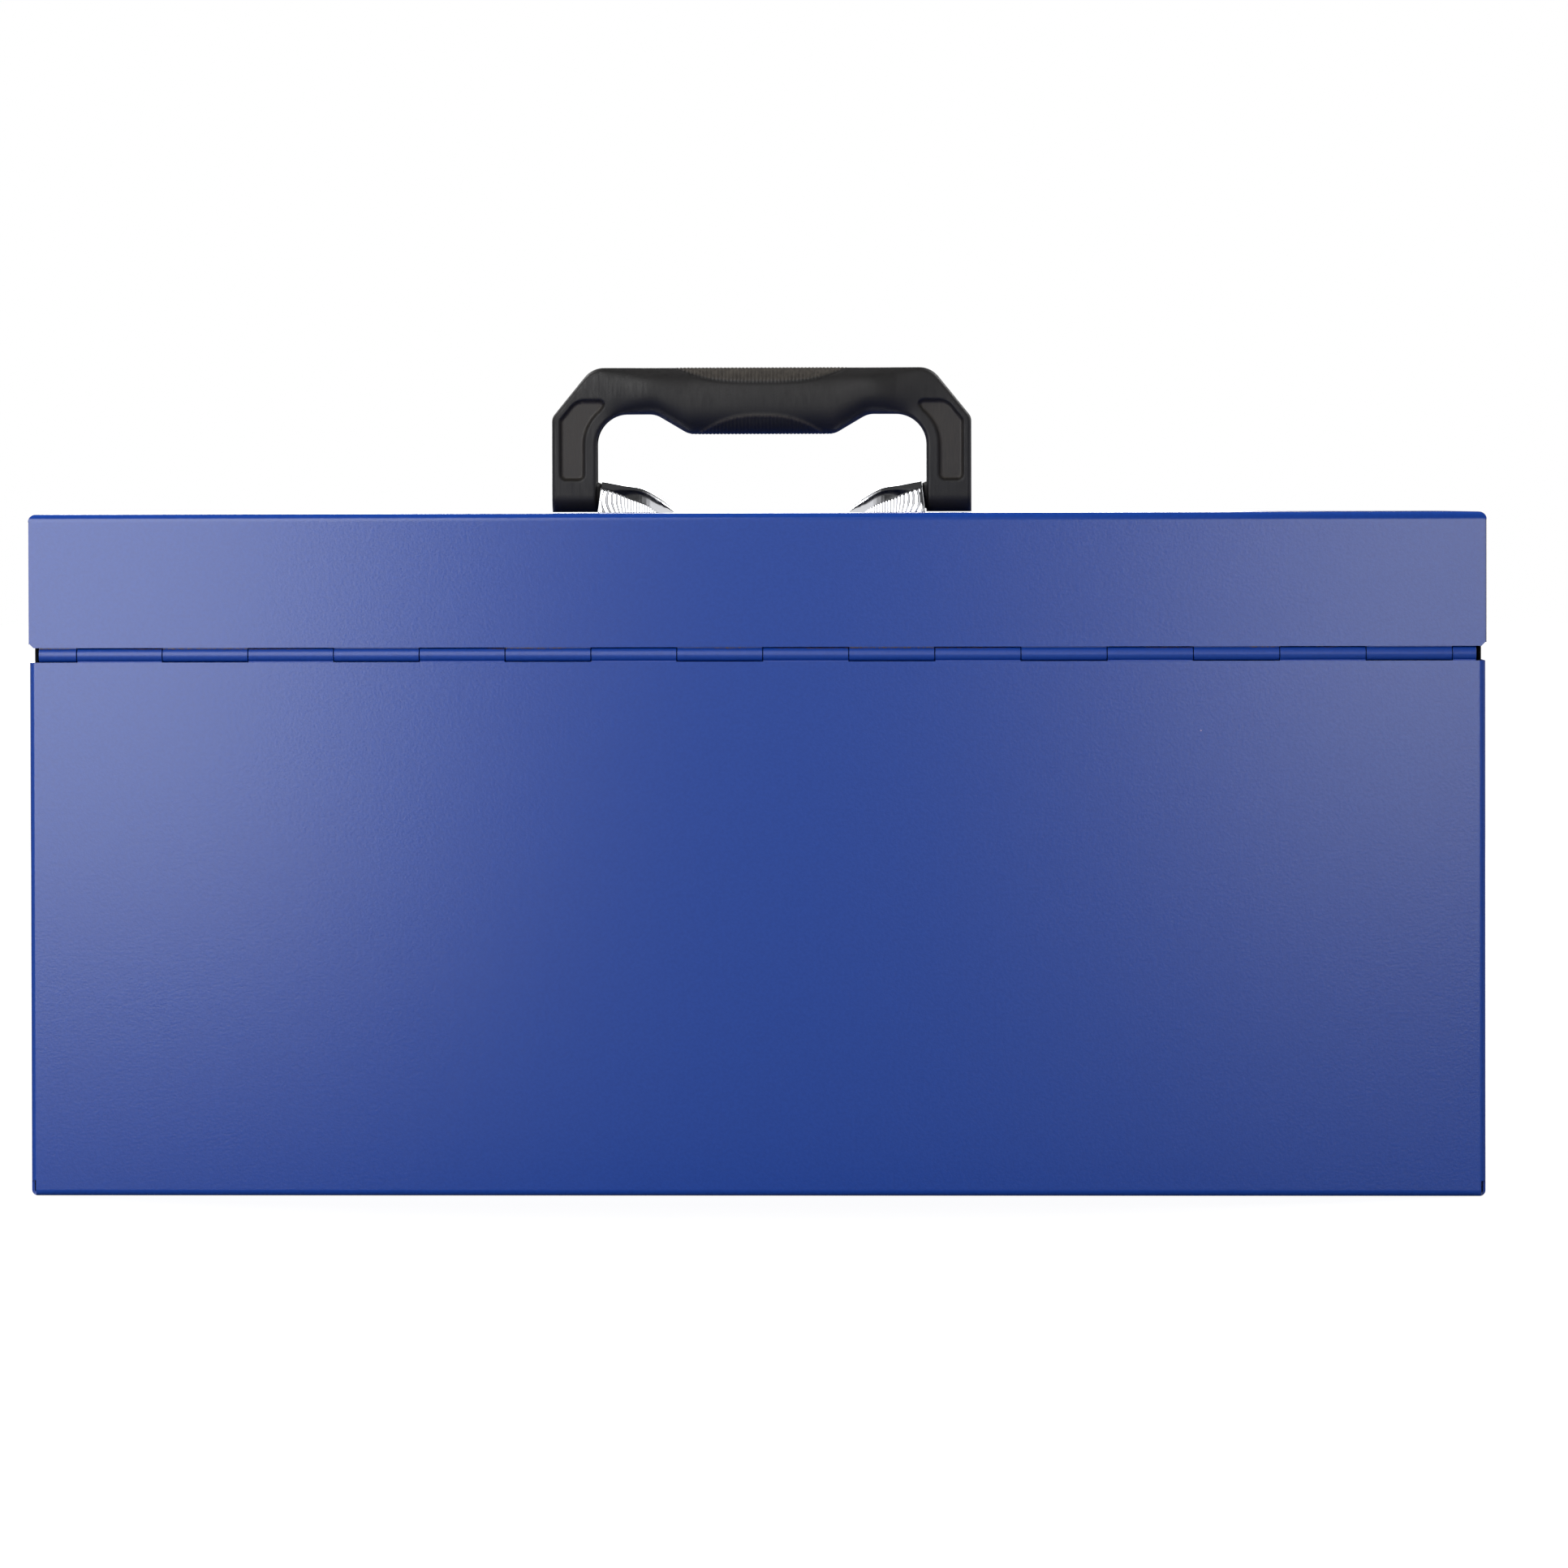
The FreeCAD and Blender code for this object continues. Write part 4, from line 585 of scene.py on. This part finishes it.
def makeHandle():
    v, mesh = grip, gripMesh
    stations, under, over = handleStations()
    right = len(stations)
    ring = mesh["ring"]
    columns = 2 * right - 1
    bm = bmesh.new()
    bmesh.ops.create_grid(bm, x_segments=columns - 1, y_segments=ring, size=1.0)
    # this attribute holds real dust and also the painted highlight and painted shade lines at the lens edges
    dust = bm.verts.layers.float.new("dustShare")
    for vert in bm.verts:
        column = round((vert.co.x + 1) / 2 * (columns - 1))
        row = round((vert.co.y + 1) / 2 * ring)
        side = 1 if column < right else -1
        inner, outer, blend, squeeze = stations[column if side > 0 else columns - 1 - column]
        turn = 2 * math.pi * row / ring
        c, s = math.cos(turn), math.sin(turn)
        width = (outer - inner).length
        front = 1 if s >= 0 else -1
        # flat leg with small round edges
        legAcross = (1 - c) / 2
        off = min(legAcross, 1 - legAcross) * width
        thick = v["legThick"] / 2 * squeeze
        edge = min(v["edge"], thick)
        legHigh = thick - edge + math.sqrt(max(0.0, edge ** 2 - (edge - min(off, edge)) ** 2))
        # full, rounded grip
        swell = 2 / v["fullness"]
        gripAcross = (1 - math.copysign(abs(c) ** swell, c)) / 2
        gripHigh = v["gripThick"] / 2 * abs(s) ** swell
        across = legAcross + (gripAcross - legAcross) * blend
        high = legHigh + (gripHigh - legHigh) * blend
        spot = inner.lerp(outer, across)
        # pocket moulded into each face of the leg
        hollow = 0.0
        if v["pocketLow"] < spot.y < v["pocketTop"] and spot.x > v["pocketReach"]:
            gaps = (distanceTo(over, spot) - v["pocketOuter"], distanceTo(under, spot) - v["pocketInner"],
                    spot.y - v["pocketLow"], v["pocketTop"] - spot.y, spot.x - v["pocketReach"])
            corner = v["pocketRound"]
            inside = corner - math.sqrt(sum(max(corner - gap, 0) ** 2 for gap in gaps))
            hollow = smoothStep(0, v["pocketWall"], inside)
            high -= v["pocketDepth"] * hollow
        # ribbed lenses on the top and the underside of the grip
        ribbed = lip = 0.0
        if blend > mesh["ribsFrom"]:
            x = spot.x
            if x < v["topLensHalf"]:
                reach = v["topLensDrop"] * (1 - (x / v["topLensHalf"]) ** v["topLensPower"])
                inside = spot.y - (v["top"] - reach)
                ribbed = smoothStep(0, v["ribFade"], inside)
                near = smoothStep(*v["lipSpan"], abs(inside - v["lipInset"]))
                lip = -near * smoothStep(0, v["lipFade"], reach)
            if x < v["lowLensHalf"] + v["lensMargin"]:
                along = min(x, v["lowLensHalf"]) / v["lowLensHalf"]
                reach = v["lowLensRise"] * (1 - along ** v["lowLensPower"])
                inside = v["middleLow"] + max(reach, v["lowLensLeast"]) - spot.y
                ribbed = max(ribbed, smoothStep(0, v["ribFade"], inside))
                lip += smoothStep(*v["lipSpan"], abs(inside)) * smoothStep(0, v["lipFade"], reach)
            phase = abs(x / v["ribPitch"] % 1 - 0.5) * 2
            rise = v["ribRise"] * ribbed * (v["ribMean"] - (1 - phase) ** 2) + v["lipRise"] * lip
            outward = Vector((c * -2 / width, s * 2 / v["gripThick"])).normalized()
            spot = spot + Vector((0, outward.x * rise))
            high += abs(outward.y) * rise
        # dust sits in the pocket and between the upper ribs; along the lower lens the lip gets the dust
        # colour as a painted highlight, and along the upper lens the dust is held back as a painted shade
        # line
        onTop = 1.0 if spot.y > v["dustyAbove"] else 0.0
        vert[dust] = max(hollow * v["pocketDust"], ribbed * onTop) + lip * v["lipPaintedLight"]
        vert.co = Vector((side * spot.x, front * high, spot.y)) * mm
    bmesh.ops.remove_doubles(bm, verts=bm.verts, dist=weld)
    for side in (-1, 1):
        # the collar that bears on the clip
        depth = v["collarLength"] + v["collarRoot"]
        made = bmesh.ops.create_cone(bm, cap_ends=True, segments=mesh["collarSides"], depth=depth * mm,
                                     radius1=v["collarRadius"] * mm, radius2=v["collarTip"] * mm,
                                     matrix=Matrix.Rotation(math.radians(-90 * side), 4, "Y"))["verts"]
        middle = v["innerHalf"] - v["collarLength"] / 2 + v["collarRoot"] / 2
        bmesh.ops.translate(bm, vec=Vector((side * middle, 0, v["pivot"])) * mm, verts=made)
    bmesh.ops.recalc_face_normals(bm, faces=bm.faces)
    finishPiece(bm, "carryingHandle", "handle", blackPlastic, ["handle"],
                mesh["smoothAngle"])


makeHandle()
print("handle moulded")


# Chrome clips that hold the handle

clip = {"mouth": 57.9, "low": 238.5, "half": 8.5, "lean": 1.4, "draft": 0.1, "fluteDepth": 0.22,
        "profile": [(0, 11.4), (0.4, 11.35), (8.6, 9.8), (12, 9.35), (13.4, 9.1), (14.6, 8.75), (16.2, 8.1),
                    (17.6, 7.4), (19.4, 6.35), (22, 4.7), (24.3, 2.9), (25.8, 1.5), (26.8, 0.4)],
        "tailNarrow": 1.6, "sidePower": 0.42, "crownPower": 0.5,
        "rim": (2.3, 2.9), "rimSpan": 15, "slant": 0.35,
        "fluteFade": 0.5, "fluteStart": (0.5, 1.2), "bowCentre": 5.5, "bow": 0.055, "bowSpan": (3, 12),
        "flutesPerMm": 0.476, "flutesGain": 0.02, "tailShallow": 0.5, "leanSpan": 8,
        "gauge": 1.0, "wall": 0.6, "tab": (40.7, 49.7), "tabLow": 235.3, "tabLap": 0.4, "hem": 4.0}
clipMesh = {"columns": 150, "rows": 110, "crown": 8, "facingUp": 0.7, "smoothAngle": 40}


def clipHeight(along):
    points = clip["profile"]
    for (a, low), (b, high) in zip(points, points[1:]):
        if a <= along <= b:
            return low + (high - low) * (along - a) / (b - a)
    return points[-1][1]


def makeClip(side):
    v = clip
    length = v["profile"][-1][0]
    bm = bmesh.new()
    bmesh.ops.create_grid(bm, x_segments=clipMesh["columns"], y_segments=clipMesh["rows"], size=1.0)
    for vert in bm.verts:
        along = (vert.co.x + 1) / 2 * length
        # rows closer together at both feet, where the arch stands steep
        turn = (0.5 - 0.5 * math.cos((vert.co.y + 1) / 2 * math.pi)) * math.pi
        c, s = math.cos(turn), math.sin(turn)
        tall = clipHeight(along)
        # the section is an upright arch, a little narrower towards the tail
        half = v["half"] - v["tailNarrow"] * smoothStep(v["mouth"] - v["tab"][0], length, along)
        y = half * math.copysign(abs(c) ** v["sidePower"], c)
        z = tall * abs(s) ** v["crownPower"]
        # pressed flutes below a plain rim, wide and bowed round the pivot at the mouth and finer to the tail
        rim = tall - v["rim"][0] - v["rim"][1] * smoothStep(0, v["rimSpan"], along)
        # the rim slants in above the flutes, so its tail half mirrors the bright sides
        if z > rim:
            y *= 1 - v["slant"] * (z - rim) / (tall - rim)
        field = smoothStep(0, v["fluteFade"], rim - z) * smoothStep(*v["fluteStart"], along)
        bow = (z - v["bowCentre"]) ** 2 * v["bow"] * (1 - smoothStep(*v["bowSpan"], along))
        turns = (along - bow) * v["flutesPerMm"] + (along - bow) ** 2 * v["flutesGain"]
        wave = 0.5 - 0.5 * math.cos(2 * math.pi * turns)
        crest = field * v["fluteDepth"] * (1 - wave * (1 - v["tailShallow"] * along / length))
        y += math.copysign(1, c) * (crest - v["draft"] * z)
        # the mouth leans out at its foot, towards the leg
        lean = v["lean"] * (1 - z / tall) * smoothStep(v["leanSpan"], 0, along)
        vert.co = Vector((side * (v["mouth"] - along + lean), y, v["low"] + z)) * mm
    bmesh.ops.recalc_face_normals(bm, faces=bm.faces)
    # an open sheet can come out either way round: its crown has to face up
    crown = (v["low"] + clipMesh["crown"]) * mm
    facing = clipMesh["facingUp"]
    up = [f for f in bm.faces if f.calc_center_median().z > crown and abs(f.normal.z) > facing]
    if up[0].normal.z < 0:
        bmesh.ops.reverse_faces(bm, faces=bm.faces)
    tabs = bmesh.new()
    for near in (-1, 1):
        wall = sorted((near * v["half"], near * (v["half"] - v["gauge"])))
        hem = sorted((near * (v["half"] + v["hem"]), near * (v["half"] - v["gauge"])))
        ends = sorted((side * v["tab"][0], side * v["tab"][1]))
        block(tabs, (ends[0], wall[0], v["tabLow"]), (ends[1], wall[1], v["low"] + v["tabLap"]))
        block(tabs, (ends[0], hem[0], v["tabLow"]), (ends[1], hem[1], v["tabLow"] + v["gauge"]))
    name = "Right" if side > 0 else "Left"
    node = "handle_clip_" + name.lower()
    piece = finishPiece(bm, "handleClip" + name, "lid", chrome, [node],
                        clipMesh["smoothAngle"])
    thicken(piece, v["wall"], even=False)
    finishPiece(tabs, "handleClipTabs" + name, "lid", chrome)


makeClip(1)
makeClip(-1)
print("clips pressed")


# The other pieces keep their CAD shape, with softened edges

flatWithin = math.radians(0.4)  # faces this near one plane are joined before an edge is softened


def dressNode(nodeName, material, edgeMm):
    bm = bmesh.new()
    bm.from_mesh(nodes[nodeName].data)
    bmesh.ops.remove_doubles(bm, verts=bm.verts, dist=weld)
    words = nodeName.split("_")
    name = words[0] + "".join(word.capitalize() for word in words[1:])
    if edgeMm:
        bmesh.ops.dissolve_limit(bm, angle_limit=flatWithin, verts=bm.verts, edges=bm.edges,
                                 use_dissolve_boundaries=False, delimit={"NORMAL"})
    piece = finishPiece(bm, name, nodes[nodeName]["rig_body"], material, [nodeName])
    if edgeMm:
        softenEdges(piece, edgeMm)


# material and slot of each finish
finishOf = {
    "paint": (bluePaint, "blue_powder_coat"),
    "wornPaint": (wornPaint, "blue_powder_coat"),
    "primer": (primer, "blue_powder_coat"),
    "dullSteel": (dullSteel, "zinc_plated_steel"),
    "chrome": (chrome, "chrome_plate"),
    "zinc": (zinc, "zinc_plated_steel"),
    "aluminium": (aluminium, "anodised_aluminium"),
    "plastic": (blackPlastic, "black_plastic"),
    "ball": (ballSteel, "zinc_plated_steel"),
}
# finish and soft edge in mm of each node; 0 leaves a round piece as it is
dressed = {
    # the inner rim takes the near-black painted shade instead of the blue coat
    "front_header": ("paint", 0.25), "inner_rim": ("primer", 0.2), "till_floor": ("paint", 0.2),
    "lid_stiffener": ("paint", 0.25),
    "hinge_body_leaf": ("wornPaint", 0.12), "hinge_lid_leaf": ("wornPaint", 0.12),
    "hinge_pin": ("dullSteel", 0.15),
    "handle_pivot_pin_left": ("zinc", 0.2), "handle_pivot_pin_right": ("zinc", 0.2),
    "padlock_eye_lower": ("chrome", 0.3), "padlock_eye_upper": ("chrome", 0.3),
    "latch_rivets": ("chrome", 0.0), "strike_rivets": ("chrome", 0.0),
}
for number in (1, 2, 3):
    stem = "drawer_%d_" % number
    dressed.update({
        stem + "tray": ("paint", 0.15), stem + "front": ("paint", 0.15), stem + "pull": ("aluminium", 0.2),
        stem + "pull_caps": ("plastic", 0.3), stem + "case_rails": ("zinc", 0.2),
        stem + "runners": ("zinc", 0.2), stem + "ball_cages": ("zinc", 0.1), stem + "balls": ("ball", 0.0),
    })
for side in ("left", "right"):
    dressed.update({
        "latch_base_" + side: ("chrome", 0.25), "latch_lever_" + side: ("chrome", 0.25),
        "latch_bail_" + side: ("chrome", 0.0), "latch_pivot_" + side: ("zinc", 0.2),
        "strike_" + side: ("chrome", 0.25),
    })
for nodeName, (finish, edgeMm) in dressed.items():
    material, slot = finishOf[finish]
    dressNode(nodeName, material, edgeMm)
print("dressed", len(dressed), "nodes")


# Floor, light and camera

studio = {"floorColour": "#7a7a79", "floorHalf": 12.0, "glowNear": 0.88, "glowFar": 1.0,
          "glowReach": (0.35, 1.3), "ambient": 0.15, "near": 0.06, "far": 0.95, "walls": (0.24, 0.42),
          "backdropDepth": (-0.5, -0.2), "backdropHeight": (-0.02, 0.05)}
# each softbox: power in W, width and height, place, target; right and left are +X and -X
softboxes = {
    "keyLight": (13.1, (0.57, 1.27), (0.437, 1.15, 0.59), (0.05, 0.1, 0.15)),
    "fillLight": (4.8, (0.3, 0.71), (-0.41, 2.34, 0.27), (-0.05, 0.1, 0.15)),
    "topLightRight": (12.0, (0.6, 0.5), (0.95, -0.45, 1.25), (0, 0, 0.2)),
    "topLightLeft": (12.0, (0.6, 0.5), (-0.95, -0.45, 1.25), (0, 0, 0.2)),
    "frontLight": (24.0, (1.6, 0.7), (0.5, -2.4, 0.55), (0, 0, 0.12)),
    "sideLight": (16.0, (1.0, 1.0), (-2.2, -0.6, 1.0), (0, 0, 0.12)),
}


def makeStage():
    bm = bmesh.new()
    bmesh.ops.create_grid(bm, x_segments=1, y_segments=1, size=studio["floorHalf"])
    mesh = bpy.data.meshes.new("floor")
    bm.to_mesh(mesh)
    bm.free()
    floor = bpy.data.objects.new("floor", mesh)
    bpy.context.scene.collection.objects.link(floor)
    material = bpy.data.materials.new("paleStudioFloor")
    material.use_nodes = True
    tree = material.node_tree
    tree.nodes.clear()
    rays = addNode(tree, "LightPath").outputs
    diffuse = addNode(tree, "BsdfDiffuse", {"Color": linear(studio["floorColour"])}).outputs[0]
    # the floor glows white to the camera only, a little less near the object so that its shadow stays
    place = addNode(tree, "TexCoord").outputs["Object"]
    away = addNode(tree, "VectorMath", {"operation": "LENGTH"}, {0: place})
    strength = ramp(tree, away.outputs["Value"], *studio["glowReach"], studio["glowNear"], studio["glowFar"])
    glow = addNode(tree, "Emission", {"Color": linear("#ffffff")}, {"Strength": strength}).outputs[0]
    seen = addNode(tree, "AddShader", {}, {0: diffuse, 1: glow}).outputs[0]
    both = addNode(tree, "MixShader", {}, {0: rays["Is Camera Ray"], 1: diffuse, 2: seen}).outputs[0]
    addNode(tree, "OutputMaterial", {}, {"Surface": both})
    mesh.materials.append(material)


def areaLight(name, power, size, place, target):
    data = bpy.data.lights.new(name, "AREA")
    data.shape = "RECTANGLE"
    data.size, data.size_y = size
    data.energy = power
    lamp = bpy.data.objects.new(name, data)
    bpy.context.scene.collection.objects.link(lamp)
    lamp.location = place
    lamp.rotation_euler = (Vector(target) - Vector(place)).to_track_quat("-Z", "Y").to_euler()


def makeWorld():
    world = bpy.data.worlds.new("studioSurround")
    bpy.context.scene.world = world
    world.use_nodes = True
    tree = world.node_tree
    tree.nodes.clear()
    way = addNode(tree, "SeparateXYZ", {}, {0: addNode(tree, "TexCoord").outputs["Generated"]}).outputs
    # gloss sees white walls left and right and a low white backdrop,
    # and a dark room overhead and at the camera
    across = addNode(tree, "Math", {"operation": "ABSOLUTE"}, {0: way[0]}).outputs[0]
    walls = ramp(tree, across, *studio["walls"])
    behind = ramp(tree, way[1], *studio["backdropDepth"], 1.0, 0.0)
    lowDown = ramp(tree, way[2], *studio["backdropHeight"], 1.0, 0.0)
    backdrop = times(tree, behind, lowDown)
    white = addNode(tree, "Math", {"operation": "MAXIMUM"}, {0: walls, 1: backdrop}).outputs[0]
    level = ramp(tree, white, 0.0, 1.0, studio["near"], studio["far"])
    soft = addNode(tree, "Background", {"Color": linear("#ffffff"), "Strength": studio["ambient"]}).outputs[0]
    shine = addNode(tree, "Background", {"Color": linear("#ffffff")}, {"Strength": level}).outputs[0]
    plain = addNode(tree, "Background", {"Color": linear("#ffffff"), "Strength": 1.0}).outputs[0]
    rays = addNode(tree, "LightPath").outputs
    lit = addNode(tree, "MixShader", {}, {0: rays["Is Glossy Ray"], 1: soft, 2: shine}).outputs[0]
    seen = addNode(tree, "MixShader", {}, {0: rays["Is Camera Ray"], 1: lit, 2: plain}).outputs[0]
    addNode(tree, "OutputWorld", {}, {"Surface": seen})


cameraPlace = {"place": (-0.0598, 2.708, 0.2422), "turn": -1.7, "tilt": 0.955, "roll": -0.131,
               "lens": 171.234, "sensor": 36, "shiftX": 0.05, "shiftY": -0.1002, "clip": (0.1, 100)}


def makeCamera():
    v = cameraPlace
    data = bpy.data.cameras.new("photoCamera")
    data.sensor_width = v["sensor"]
    data.lens = v["lens"]
    data.shift_x, data.shift_y = v["shiftX"], v["shiftY"]
    data.clip_start, data.clip_end = v["clip"]
    camera = bpy.data.objects.new("photoCamera", data)
    bpy.context.scene.collection.objects.link(camera)
    camera.location = v["place"]
    facing = Euler([math.radians(a) for a in (90 - v["tilt"], 0, 180 - v["turn"])]).to_matrix()
    camera.rotation_euler = (facing @ Matrix.Rotation(math.radians(v["roll"]), 3, "Z")).to_euler()
    bpy.context.scene.camera = camera


makeStage()
makeWorld()
for lampName, setting in softboxes.items():
    areaLight(lampName, *setting)
makeCamera()
bpy.context.scene.view_settings.view_transform = "Standard"

print("stage, light and camera set")
